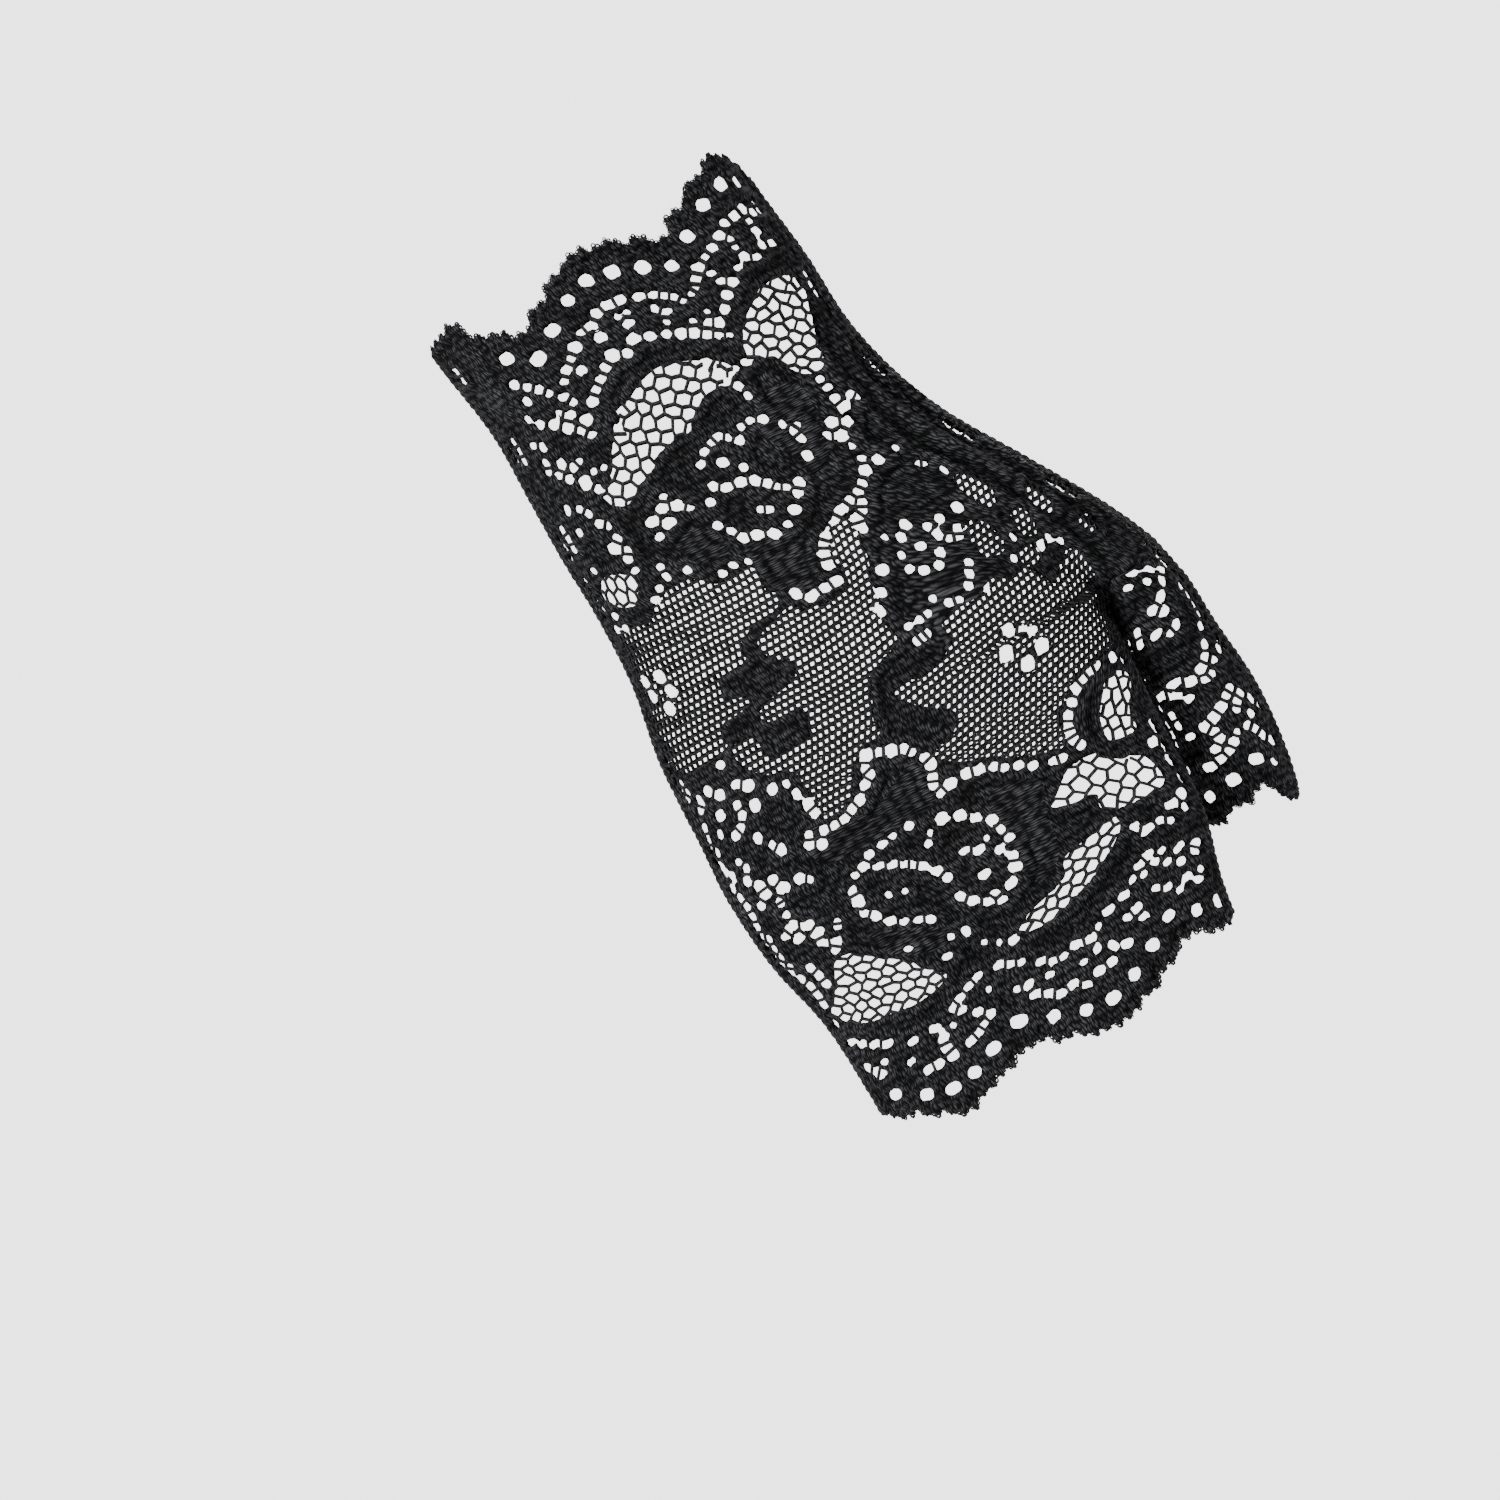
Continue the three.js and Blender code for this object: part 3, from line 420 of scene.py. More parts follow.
# Single holes, as seen from the front: x, z, width and height
HOLES = [
    # the cuff's eyelets
    (-25.3, 31.3, 2.3, 2.6), (-20, 28.3, 3.3, 2.8), (-14.6, 31.7, 3.2, 2.6), (-9, 35.2, 2.3, 2.6),
    (-4.2, 36.7, 2.8, 2.8), (1, 35.7, 2.8, 3.0), (6.6, 33.5, 2.8, 3.0), (11.7, 31, 2.4, 2.4),
    (17.1, 34.4, 2.5, 2.6), (22.3, 38.1, 2.4, 2.8), (26.7, 39.9, 2.2, 2.8), (30, 38.7, 1.5, 2.4),
    # the first arcs below them
    (-26.2, 26.2, 1.3, 1.8), (-24.3, 24.6, 1.5, 1.6), (-22.7, 23.1, 1.6, 1.7), (-21.3, 21.4, 1.2, 1.3),
    (-19.1, 19.5, 1.9, 1.2), (-17.6, 22, 1.4, 1.3), (-16.1, 23.7, 2.1, 1.7), (-14.2, 25.2, 1.6, 1.3),
    (-12.4, 26.7, 2.6, 2.7), (-10.1, 28.6, 1.2, 1.2), (-7.7, 28.7, 2.0, 1.7), (-5.6, 30.3, 1.8, 2.0),
    (-2.9, 30.6, 2.2, 2.0), (-0.4, 30.3, 1.9, 1.9), (3, 29, 2.0, 1.8), (5.7, 27.9, 1.8, 1.8),
    (7.4, 26.7, 1.5, 1.7), (9.0, 25.6, 1.3, 1.6), (14.4, 26.5, 1.7, 1.6), (15.9, 28.2, 2.0, 1.8),
    (18, 29.3, 1.1, 1.3), (20, 30.1, 1.5, 1.7), (22.2, 31.4, 1.8, 1.8), (24.2, 33, 1.4, 1.7),
    (26.4, 33.3, 1.9, 2.0), (28.4, 33.7, 1.4, 1.9), (29.9, 32.1, 1.0, 1.5), (-7.2, 25.8, 2.1, 1.9),
    (-1.2, 25.5, 2.1, 1.6), (-2.4, 27.6, 0.9, 1.1), (-0.3, 27.6, 0.9, 1.1), (4.6, 25.4, 1.0, 1.6),
    (6.3, 23.8, 1.8, 1.4), (10.2, 24, 0.9, 1.0), (12.3, 24.4, 1.1, 1.0), (13.5, 25, 1.0, 1.0),
    (17.4, 25.9, 1.5, 1.2), (18.3, 23.7, 1.7, 1.3), (20.1, 22.4, 1.9, 1.8), (22.2, 24.3, 1.2, 1.1),
    (24.4, 25.5, 1.6, 1.9), (26.4, 24.3, 1.4, 1.1), (28.5, 25.8, 1.4, 1.7), (30.3, 25.2, 1.1, 1.5),
    (28.8, 28.6, 1.4, 1.8), (28.5, 31, 1.0, 1.1), (23.7, 29.8, 1.0, 1.0), (23.7, 27.9, 1.1, 0.9),
    # the arcs below those
    (-25.6, 22.2, 1.1, 1.8), (-27.1, 19.2, 0.8, 1.4), (-25.6, 17.1, 1.1, 1.8), (-23.4, 15.8, 1.6, 2.0),
    (-21.4, 13.9, 1.8, 2.2), (-19.4, 12.2, 1.5, 1.8), (-18.1, 10.5, 1.5, 1.2), (-19.9, 15.9, 2.0, 1.6),
    (-17.5, 13.5, 2.7, 2.6), (-14.8, 15.9, 2.3, 2.4), (-18, 17.6, 1.3, 1.1), (-21.4, 17.4, 0.9, 1.0),
    (-13, 17.6, 1.6, 1.6), (-11.2, 18.9, 1.6, 1.6), (-9.3, 20.4, 1.5, 1.9), (-13.6, 22.2, 1.9, 1.7),
    (-7, 21.7, 2.5, 2.8), (-4.2, 20.7, 1.7, 1.9), (-1.9, 22.4, 2.5, 2.2), (1.1, 21.3, 1.9, 2.0),
    (4.1, 20.1, 1.5, 1.6), (5.3, 22.1, 0.9, 1.1), (6.6, 18.8, 1.8, 2.2), (8.9, 17.6, 1.8, 2.2),
    (10.9, 16.1, 1.6, 1.8), (12.7, 14.9, 1.5, 1.3), (12.2, 18, 1.7, 1.7), (14.0, 16.9, 2.0, 2.4),
    (9.8, 19.8, 0.9, 1.1), (13.1, 20.1, 0.9, 1.0), (16.3, 18.7, 1.5, 1.7), (18, 20.7, 1.8, 1.8),
    (-28.9, 14.3, 0.9, 1.3), (-27.4, 13.1, 0.9, 2.0), (-28.4, 10.2, 0.8, 1.7), (-33.6, 10.7, 0.6, 2.0),
    (-28.8, 8.4, 0.7, 1.2), (-25.9, 8.5, 1.2, 2.0), (-24.2, 6.8, 1.1, 1.6), (-26.0, 5.2, 1.1, 1.7),
    (-23.7, 3.1, 2.0, 3.0), (-22.2, 0.8, 1.2, 1.8), (-27.4, 6.8, 0.7, 1.4), (-22.7, 7.3, 0.7, 1.2),
    (-21.2, 4.3, 0.8, 1.3), (-19.2, 3.9, 0.9, 1.3), (-18.3, 1.6, 1.0, 1.1), (-15.9, 4.6, 1.0, 0.9),
    (-14.0, 7.2, 1.2, 1.2), (-13, 9.1, 1.6, 1.5), (-10.9, 11.8, 1.3, 1.3), (-8.8, 12.2, 1.1, 1.1),
    (11.1, 4.5, 1.5, 1.6), (9.3, 6.4, 1.5, 1.3), (11.7, 1.9, 1.2, 1.5), (14.8, 7.8, 1.6, 1.4),
    (12.3, 7.6, 1.2, 1.0), (14.6, 13.8, 1.0, 1.1), (7.9, 11.7, 1.6, 1.6), (9.2, 9.6, 1.0, 1.1),
    # the chain below the right-hand fan
    (25.5, -2.2, 1.2, 1.3), (26, -4.3, 1.4, 1.2), (26.1, -6.8, 1.9, 1.3), (26.7, -9.1, 2.5, 1.5),
    (28.8, -7.5, 1.2, 1.5), (29.8, -8.8, 0.9, 1.4), (23.1, -10.4, 1.9, 2.0), (25.8, -11.8, 2.1, 2.0),
    (23.4, -13.6, 2.2, 2.3), (21.3, -12.3, 1.1, 1.9), (24.3, -16.3, 1.0, 1.2), (24.7, -19.3, 1.2, 1.1),
    (27.3, -21.1, 1.8, 2.0), (24, -21.7, 2.0, 2.0), (22.4, -23.5, 1.2, 1.7), (20.8, -24.6, 1.3, 1.4),
    (18.7, -25.2, 1.5, 1.9), (16.4, -25.9, 2.3, 1.6), (14, -27.1, 1.5, 1.1), (11.2, -28.7, 1.8, 1.4),
    (9.2, -31.6, 2.0, 1.5), (8.9, -33.9, 2.2, 1.7), (10, -29.9, 1.5, 1.1), (18, -28.7, 1.8, 1.5),
    (18, -31, 1.7, 1.9), (19.8, -28.2, 1.2, 1.1), (20.4, -26.6, 1.7, 1.7), (31.4, -20.8, 0.6, 1.2),
    (33.6, -25.6, 0.8, 1.4), (34.6, -26.2, 0.6, 0.8),
    # the cuff's rose
    (-2.8, -4.9, 1.6, 1.4), (-0.9, -3.1, 1.5, 1.3), (1.1, -2.3, 1.0, 1.2), (2.8, -1.9, 1.6, 1.5),
    (4.5, -3.1, 1.0, 1.6), (6, -4.7, 1.6, 1.7), (7.6, -2.5, 1.1, 1.3), (9.7, -2.3, 1.3, 1.2),
    (12, -3.4, 1.6, 1.7), (1.1, -6.7, 1.9, 1.8), (-16.3, -9.8, 2.6, 2.0), (-13.3, -8.5, 2.2, 1.7),
    (-12.1, -6.7, 1.3, 1.1), (-10.6, -9.5, 2.3, 2.2), (-13.7, -11.6, 2.7, 2.0), (-16.6, -13, 1.5, 1.3),
    (-8.7, -11.2, 1.3, 0.9), (-2.8, -9.7, 1.5, 1.7), (-0.7, -11.2, 1.9, 1.7), (2.2, -11.7, 1.9, 1.9),
    (4.1, -9.5, 1.5, 1.5), (4.8, -12.8, 1.7, 2.0), (6.6, -14.5, 1.7, 1.4), (7.9, -16, 1.2, 1.1),
    (9.3, -16.9, 1.3, 1.2), (12, -17.3, 1.6, 2.0), (10.7, -19, 1.5, 1.5), (8.6, -21.4, 2.1, 1.9),
    (6, -23.2, 1.3, 1.2), (2.9, -23.5, 2.0, 2.0), (-0.1, -22, 1.9, 2.0), (-2.8, -21.2, 1.6, 1.9),
    (-4, -19, 1.3, 1.6), (-5.8, -16.7, 1.5, 1.5), (-4.8, -12.1, 1.6, 1.6), (2.9, -18.1, 1.1, 1.1),
    (4.4, -19, 1.3, 1.2), (15.9, -8.2, 1.7, 1.8), (16.5, -10.3, 1.3, 1.7), (15.9, -13.6, 1.6, 2.0),
    (14.7, -6, 0.9, 1.5), (17.2, -7.6, 0.8, 1.2),
    # beside the little-finger seam, above the net
    (-25.2, -5.1, 1.6, 1.8), (-26.1, -2.4, 0.9, 1.5), (-27.1, -0.7, 0.9, 1.3), (-24, -6.3, 0.9, 1.4),
    (-25.2, -10.6, 1.9, 2.1), (-23.7, -9.2, 1.0, 1.5), (-23.2, -12.1, 0.9, 1.3), (-24, -13.7, 1.4, 1.5),
    (-24, -16.3, 1.3, 1.0), (-29.2, 0.2, 0.8, 2.2), (-29.4, -4.6, 0.5, 1.6), (-33.9, -10.8, 0.6, 1.6),
    (-30.8, -12.4, 0.7, 1.3), (-19.2, -20.4, 0.9, 1.6), (-21.6, -21.6, 1.1, 1.2), (-23.4, -23.2, 1.2, 1.4),
    (-19.4, -18, 1.1, 1.2), (-15.2, -21.2, 1.2, 1.4), (-32.4, -24.4, 0.7, 1.6), (-30.8, -25, 0.7, 1.3),
    (-7.0, -24.8, 1.1, 1.3), (-9.6, -25.2, 1.3, 1.4), (-4.2, -25.6, 1.0, 1.2),
    # above and around the rose at the index edge
    (0.7, -35.5, 1.7, 2.1), (3.2, -37.5, 2.6, 1.6), (6.1, -37.4, 1.9, 1.6), (8.8, -37.4, 2.0, 1.8),
    (25.6, -34.6, 1.6, 2.0), (23.7, -36.3, 1.4, 2.0), (22, -39.4, 1.2, 1.4), (26, -39.6, 1.9, 1.5),
    (29, -37, 1.2, 1.5), (30.1, -39.4, 1.4, 2.0), (31.9, -36.9, 1.7, 1.8), (35.9, -36.7, 1.9, 2.0),
    (31.6, -41.2, 1.5, 1.1), (33.9, -40.2, 1.7, 2.0), (33.3, -41.8, 1.6, 0.9), (17.4, -39.9, 2.3, 1.9),
    (22, -42.4, 1.7, 1.4), (24.3, -44, 1.8, 1.6), (27.3, -44.5, 1.7, 1.6), (28.8, -42.6, 1.6, 1.8),
    (15, -43.6, 1.8, 1.8), (13.0, -46.5, 1.5, 2.2), (20.9, -34.8, 0.9, 1.1), (18.7, -51.8, 1.5, 1.3),
    (20.8, -51.6, 1.3, 1.2), (23, -49.6, 1.3, 1.2), (25.3, -51.8, 1.6, 1.3), (27.4, -52.3, 1.4, 1.1),
    (30.2, -50.9, 1.5, 1.5), (31.6, -48.9, 1.4, 1.8), (32.6, -47, 1.3, 1.5), (16.2, -55.2, 0.9, 1.4),
    (17.6, -55, 0.8, 1.3), (18.9, -54.8, 0.8, 1.2), (16.2, -51.8, 1.3, 1.1), (33.0, -53.2, 0.8, 1.1),
    (40.4, -50.6, 1.1, 1.4), (42.4, -47, 0.7, 1.6), (46, -51.2, 0.8, 1.8), (48.2, -50.6, 1.0, 1.6),
    (50, -52.2, 0.9, 1.3), (37.2, -29.2, 0.9, 1.8),
    # the left-hand rose and what lies below it
    (-33, -60.1, 1.2, 1.9), (-31.4, -61.8, 1.7, 1.8), (-28.4, -56.8, 1.5, 1.3), (-27.7, -61.6, 1.7, 1.3),
    (-25.8, -63, 2.2, 2.0), (-33.3, -65.3, 1.5, 1.8), (-29.4, -65.1, 1.2, 1.3), (-26.6, -66.9, 1.8, 2.2),
    (-22.1, -65.9, 1.7, 1.8), (-29.7, -67.4, 1.2, 1.5), (-32.6, -70.1, 1.9, 1.9), (-31, -69.3, 1.5, 1.6),
    (-29.2, -72.7, 1.3, 1.9), (-35.2, -61, 0.7, 2.4), (-35.0, -68.4, 0.8, 1.6), (-36.1, -62.6, 0.5, 1.4),
    (-17.5, -71.7, 1.7, 1.9), (-17.3, -74, 1.6, 1.5), (-18.5, -69, 1.3, 1.7), (-19.2, -66.4, 1.0, 1.3),
    (-27.4, -75.2, 1.0, 1.4), (-26.4, -76.8, 1.5, 1.9), (-20.4, -77, 1.3, 1.5), (-21.2, -78.7, 1.8, 1.5),
    (-19.1, -79.9, 1.9, 1.6), (-17.4, -77.6, 1.4, 1.5), (-15.1, -77.9, 1.4, 1.2), (-12.8, -77.8, 2.1, 1.4),
    (-10.8, -76.9, 1.8, 1.5), (-8.5, -76.1, 1.8, 1.7), (-6.2, -74, 1.9, 1.5), (-4.3, -72.8, 1.6, 1.3),
    (-4.5, -71.2, 1.3, 1.2), (-3.2, -69.2, 2.6, 2.2), (1.4, -70.9, 2.2, 2.0), (3.8, -71.8, 1.6, 1.9),
    (4.8, -73.2, 1.6, 1.2), (-0.8, -69.9, 1.2, 1.2), (-37.7, -74.6, 0.6, 2.8), (-36.9, -76.8, 0.6, 2.0),
    (-35, -78.8, 1.2, 1.7), (-33.4, -80.7, 1.6, 1.7), (-30.6, -81, 1.7, 1.5), (-33.3, -82.8, 1.8, 1.6),
    (-29.7, -83.4, 2.6, 2.1), (-26.1, -83.4, 1.9, 1.7), (-31.7, -85.2, 1.5, 1.1), (-33.9, -76.6, 0.5, 1.4),
    (-34.6, -74.8, 0.5, 1.2), (-24.4, -84.6, 0.9, 1.2),
    # below the star-shaped petal
    (6.7, -77, 2.1, 1.7), (6.4, -75.2, 1.6, 1.2), (5.8, -79.3, 1.8, 1.1), (5.1, -80.8, 1.6, 1.1),
    (8.1, -82.1, 2.7, 2.1), (5.6, -82.8, 1.7, 1.1), (11.7, -81.9, 1.9, 1.7), (14.2, -82.5, 2.1, 1.6),
    (17, -83.4, 1.7, 1.4), (18.7, -84.6, 1.8, 1.1), (21.3, -85.6, 1.8, 1.3), (23.7, -87, 1.9, 1.3),
    (27.4, -88.2, 1.6, 1.1), (29.4, -88.6, 1.6, 1.2),
    # round the ring at the index edge
    (38.2, -78.4, 1.8, 1.8), (40.3, -77.5, 1.5, 1.2), (42.2, -76.8, 1.5, 1.1), (44, -76.6, 1.5, 0.9),
    (47.4, -76.6, 1.2, 1.8), (36.2, -80.3, 1.8, 1.4), (34.3, -82, 1.6, 1.7), (33.3, -83.7, 1.6, 1.1),
    (32.9, -85.2, 1.9, 1.1), (32.9, -86.7, 1.9, 1.0), (33.6, -88.3, 1.9, 1.2), (48.8, -77.9, 0.6, 1.4),
    (47.6, -91.9, 0.9, 2.8), (46, -94.6, 1.9, 1.6), (47.4, -96.4, 0.9, 2.6), (47, -99.2, 1.0, 2.4),
    (47.2, -103.2, 0.9, 2.6), (45.8, -105.9, 1.8, 2.0), (43.3, -106.8, 3.0, 1.5), (36.6, -108.6, 3.0, 1.2),
    (34.9, -106.9, 1.9, 1.1), (39.6, -108.3, 1.5, 1.1), (41.4, -109.4, 1.2, 0.7), (45, -108.4, 0.8, 1.5),
    (40.3, -95.2, 1.5, 0.9),
    # the leaf's outline, the round flower and the holes inside them
    (-31.7, -85.9, 1.5, 0.9), (-31.9, -88.2, 1.3, 1.0), (-32.1, -90.6, 2.5, 1.4), (-29.4, -91.9, 2.7, 1.6),
    (-32.1, -93.3, 2.1, 1.3), (-34.2, -91.7, 1.2, 0.9), (-28.4, -94.2, 2.6, 1.2), (-28.4, -96.3, 2.0, 1.1),
    (-26.1, -97.4, 2.2, 1.1), (-24.4, -95.1, 1.6, 1.1), (-27.0, -98.8, 1.6, 0.8), (-24, -94.0, 0.9, 0.7),
    (-18.5, -90.5, 1.5, 1.1), (-18.5, -92.8, 2.1, 2.0), (-18.5, -95.4, 1.6, 1.0), (-17, -97, 1.8, 1.6),
    (-15, -99.2, 1.9, 1.3), (-12.8, -100.6, 1.6, 1.0), (-10.2, -101.7, 1.5, 1.0), (-8.2, -102.8, 1.7, 1.3),
    (-14.3, -87.6, 1.8, 1.4), (-12.2, -86.1, 1.9, 1.3), (-11.8, -88.9, 1.9, 1.0), (-9.1, -85.7, 1.7, 1.1),
    (-6.5, -85.3, 1.3, 1.0), (-2.8, -85.1, 1.8, 1.5), (-16.5, -88.2, 1.3, 1.0), (-9.2, -90, 2.0, 0.8),
    (-7.3, -91.1, 1.6, 0.8), (-5.9, -92, 1.2, 0.8), (-4.4, -93.2, 1.9, 1.2), (-2.4, -95.3, 2.2, 1.4),
    (-1.4, -97.5, 1.7, 1.4), (-1.3, -90, 1.4, 1.0), (0.1, -88.3, 1.0, 1.0), (3.4, -87.1, 2.3, 2.0),
    (6.7, -88.3, 2.2, 1.8), (9.1, -90.2, 1.9, 1.4), (11.6, -92.1, 2.2, 1.7), (12.2, -94.6, 1.6, 1.3),
    (12.8, -96.7, 1.9, 1.3), (10, -97.8, 1.9, 1.4), (11.7, -100, 1.9, 1.3), (11, -102.2, 2.5, 1.6),
    (8.7, -104.5, 2.8, 1.6), (5.1, -104.6, 1.5, 1.0), (3.2, -105.4, 2.0, 1.2), (0.8, -103.8, 2.1, 1.6),
    (-1, -101.8, 1.6, 1.5), (5.7, -106.4, 2.0, 1.0), (4.1, -94.6, 2.1, 1.0), (6.5, -95.9, 2.2, 1.4),
    (5.1, -100.5, 2.4, 1.4), (9, -94.6, 0.9, 0.8), (-12.8, -94.6, 0.9, 1.2), (-9.8, -95.6, 0.7, 1.0),
    (-3.4, -108.2, 1.3, 1.8), (-9, -110.6, 2.0, 1.0), (-6.4, -107.6, 1.0, 0.9), (-14.8, -105.6, 1.1, 0.8),
    # the rows above the finger edge
    (-33.6, -115.6, 2.2, 1.2), (-31.7, -117, 1.4, 0.9), (-29.6, -118.2, 2.2, 1.1), (-27.4, -119.4, 2.3, 1.1),
    (-12.9, -119.6, 2.0, 1.0), (-10.9, -118.7, 2.1, 1.3), (-8.3, -117.6, 1.8, 0.8), (-5.9, -116.8, 2.0, 1.1),
    (-1.2, -116.9, 2.3, 1.1), (0.8, -117.9, 1.6, 0.9), (2.8, -118.6, 1.4, 0.9), (3.7, -114.2, 2.3, 1.3),
    (1.0, -113.2, 1.0, 0.8), (-1.4, -111.8, 1.0, 0.8), (6.1, -120.4, 2.1, 1.1), (8.1, -121.5, 1.7, 0.9),
    (10.4, -121.7, 1.6, 0.9), (13.7, -121.0, 2.5, 1.3), (16.7, -121.4, 2.5, 1.3), (19.2, -120, 1.2, 0.8),
    (-22.8, -121.4, 2.0, 1.0), (-17.8, -121.4, 2.3, 1.2), (-11.7, -120.9, 2.0, 1.0),
    (-17.5, -123.8, 2.3, 1.4), (-9.2, -122.7, 1.9, 1.3), (-7.2, -124.3, 1.7, 1.3), (-33.2, -121.4, 1.0, 1.2),
    (-32.2, -122.8, 1.5, 0.8), (-31.4, -124, 1.9, 0.9), (-29.6, -122.1, 1.2, 1.0), (1.9, -123.1, 2.1, 1.3),
    (-0.6, -122.7, 1.2, 1.0), (6.3, -123.4, 1.8, 1.0), (2.0, -125.4, 2.3, 1.2), (4.4, -126.5, 2.1, 1.2),
    (6.4, -127.7, 2.4, 1.3), (9.3, -127.3, 2.1, 1.3), (11.6, -128.7, 1.9, 1.1), (15, -127.6, 2.3, 1.6),
    (18, -127.3, 1.9, 1.5), (19.7, -124.7, 1.3, 2.1), (16.7, -123.8, 1.6, 1.2), (-17.5, -127.7, 2.1, 1.4),
    (-17.8, -125.8, 1.9, 1.0), (-13.2, -127, 2.1, 1.5), (-11, -126.3, 1.9, 1.4), (-9.4, -125.4, 1.6, 1.1),
    (-22.8, -127.6, 1.9, 1.3), (-20.6, -127.7, 1.9, 1.6), (22.3, -118.4, 2.6, 1.3), (26.3, -117.4, 2.3, 1.2),
    (27.3, -120.7, 2.3, 1.3), (24.8, -121.4, 1.7, 0.9), (27.6, -122.8, 2.2, 0.9), (22.3, -125.7, 2.1, 1.5),
    (29.2, -115.6, 1.5, 0.9), (31.8, -113.8, 2.2, 0.9), (34.2, -112.8, 2.0, 0.9), (31.6, -115.8, 1.4, 0.8),
    (34.6, -114.8, 1.6, 0.8), (37, -113.6, 1.4, 0.8), (40.2, -114.6, 2.4, 1.0), (43.4, -115.4, 1.8, 1.1),
    (36.8, -116.0, 1.5, 0.8), (39.2, -117.2, 1.7, 1.2), (42.4, -116.9, 1.3, 0.7), (34.6, -120.2, 1.6, 1.0),
    (36.4, -121.8, 1.5, 0.9), (38.6, -120.3, 1.9, 1.0), (40.3, -121.9, 1.5, 1.0), (41.6, -120.2, 0.9, 1.0),
    (32.4, -119.2, 1.6, 0.9), (-25.0, -124.6, 1.5, 0.9), (-14.6, -122.6, 0.9, 0.8), (-5.2, -120.0, 1.0, 0.8),
    (13.2, -124.6, 1.4, 0.9),
    # the finger edge's eyelets
    (-31, -128.6, 2.4, 2.0), (-25.5, -131.6, 2.6, 2.2), (-20.5, -133.1, 3.0, 2.2), (-15.5, -132.5, 2.5, 2.2),
    (-10.2, -130.3, 3.1, 2.2), (-3.3, -128.3, 3.4, 2.4), (3, -130.8, 2.6, 2.2), (9, -132.9, 2.6, 2.2),
    (14.7, -133.4, 3.0, 2.4), (20.5, -131.5, 2.5, 2.4), (26.4, -128.4, 2.8, 2.3), (32, -125.1, 2.7, 1.9),
    (37.2, -126.8, 1.9, 2.3), (41.2, -127.3, 1.0, 2.4),
    # the thumb
    (58.7, -64.4, 1.4, 1.2), (62, -65.5, 1.2, 1.5), (60.5, -67.4, 1.0, 1.2), (63.2, -68.6, 1.3, 1.8),
    (64.1, -66.7, 0.8, 1.4), (61.3, -71.2, 1.5, 2.0), (58.7, -72.7, 1.9, 1.3), (60.4, -74, 1.9, 1.2),
    (61.1, -77.3, 1.4, 1.6), (56.9, -77.1, 2.3, 1.3), (59.3, -78.2, 1.0, 0.9), (56.6, -66.6, 1.2, 1.0),
    (64, -83.3, 1.2, 1.6), (65.8, -85.4, 0.6, 1.8), (62.9, -85.5, 1.6, 1.3), (64, -86.8, 1.2, 1.1),
    (61.1, -87.1, 2.0, 1.6), (58.1, -88.2, 2.3, 1.5), (55.1, -87, 3.2, 1.4), (51.6, -87.9, 2.6, 1.1),
    (53.9, -89.1, 3.2, 1.1), (56.3, -91, 2.0, 0.9), (60.8, -89.3, 1.6, 1.0), (62.4, -88.9, 1.2, 1.1),
    (64.1, -93, 1.4, 1.5), (62.7, -93.9, 1.6, 1.5), (65.3, -94.9, 1.0, 1.6), (60.8, -95.4, 2.3, 1.8),
    (58.6, -96.4, 2.1, 2.0), (64, -96, 1.3, 1.2), (63.1, -97.4, 1.2, 1.1), (56, -97.1, 1.9, 1.5),
    (57.2, -98.8, 2.0, 0.9), (66.5, -96.8, 0.7, 2.0), (67.2, -98.9, 0.6, 2.0), (52.6, -97.4, 1.8, 1.1),
    (57.5, -100.6, 1.9, 1.3), (55.7, -101.9, 1.9, 1.4), (59.6, -102.4, 2.1, 1.7), (61.1, -101, 1.0, 0.9),
    (63.5, -100.9, 1.5, 1.2), (64.4, -102.3, 1.2, 1.5), (57.9, -103.6, 1.9, 1.3), (55.8, -104.1, 2.1, 1.5),
    (53.1, -104.3, 2.3, 1.6), (65, -104.0, 1.1, 1.6), (65.9, -105.8, 0.9, 1.7), (61.6, -107.4, 2.8, 2.2),
    (55.8, -108.7, 2.8, 2.3), (50.2, -109.3, 2.0, 2.0), (64.2, -109.6, 0.8, 1.3),
]

# The flowers that lie in the fine net, each of a few holes with a narrow rim round them
FLOWER_HOLES = [
    (-33.0, -35.7, 1.4, 2.6), (-30, -36.3, 2.0, 2.7), (-33.1, -38.9, 1.3, 2.6), (-29.5, -39.8, 1.8, 2.7),
    (-31.4, -42.6, 1.8, 2.7), (32.6, -62.2, 2.8, 2.9), (36.6, -64.0, 2.7, 2.9), (29.9, -65.8, 2.8, 2.9),
    (36.6, -68.0, 2.8, 2.6), (32.6, -69.5, 2.8, 2.7),
]
FLOWER_RIM = 0.45

# Petals with ribs that run across them instead of along the yarn
RIBBED = [
    [(10.5, -5), (14, 0.5), (20, 0), (21.5, -4), (20.8, -12), (19, -16), (14.6, -17.6), (13.6, -13)],
    [(-20, -76), (-8, -79), (0, -76), (4.5, -75), (4.6, -83), (-3, -84.2), (-20, -83.6)],
    [(13, -88), (23, -89.4), (22, -94), (21, -98), (19.4, -104.4), (12.4, -106)],
    [(-20, -99), (-15, -101), (-8, -104.5), (-5, -108), (-12, -108), (-18, -104.5)],
    [(-14, -15), (-8, -16), (-6, -22), (-11, -22), (-14, -19)],
    [(-3, -23), (6, -25), (7, -33), (2, -36.5), (-2, -33), (-3.6, -27)],
]

TOOTH = {"pitch": 2.45, "height": 1.35}
# The pattern's grid and its heights, and the distance beyond which it takes no notice of a shape
GRID = 0.55
GRID_Z = (-141, 48)
FAR = 4.0
# How far the cloth ends short of a seam's line, and half the gap at the crotch
SETBACK = 0.5
SLIT_HALF_WIDTH = 0.55
# A little unevenness of all edges, and of how holes are turned
EDGE_SPREAD = 0.075
TURN_SPREAD = 0.16
rng = np.random.default_rng(11)


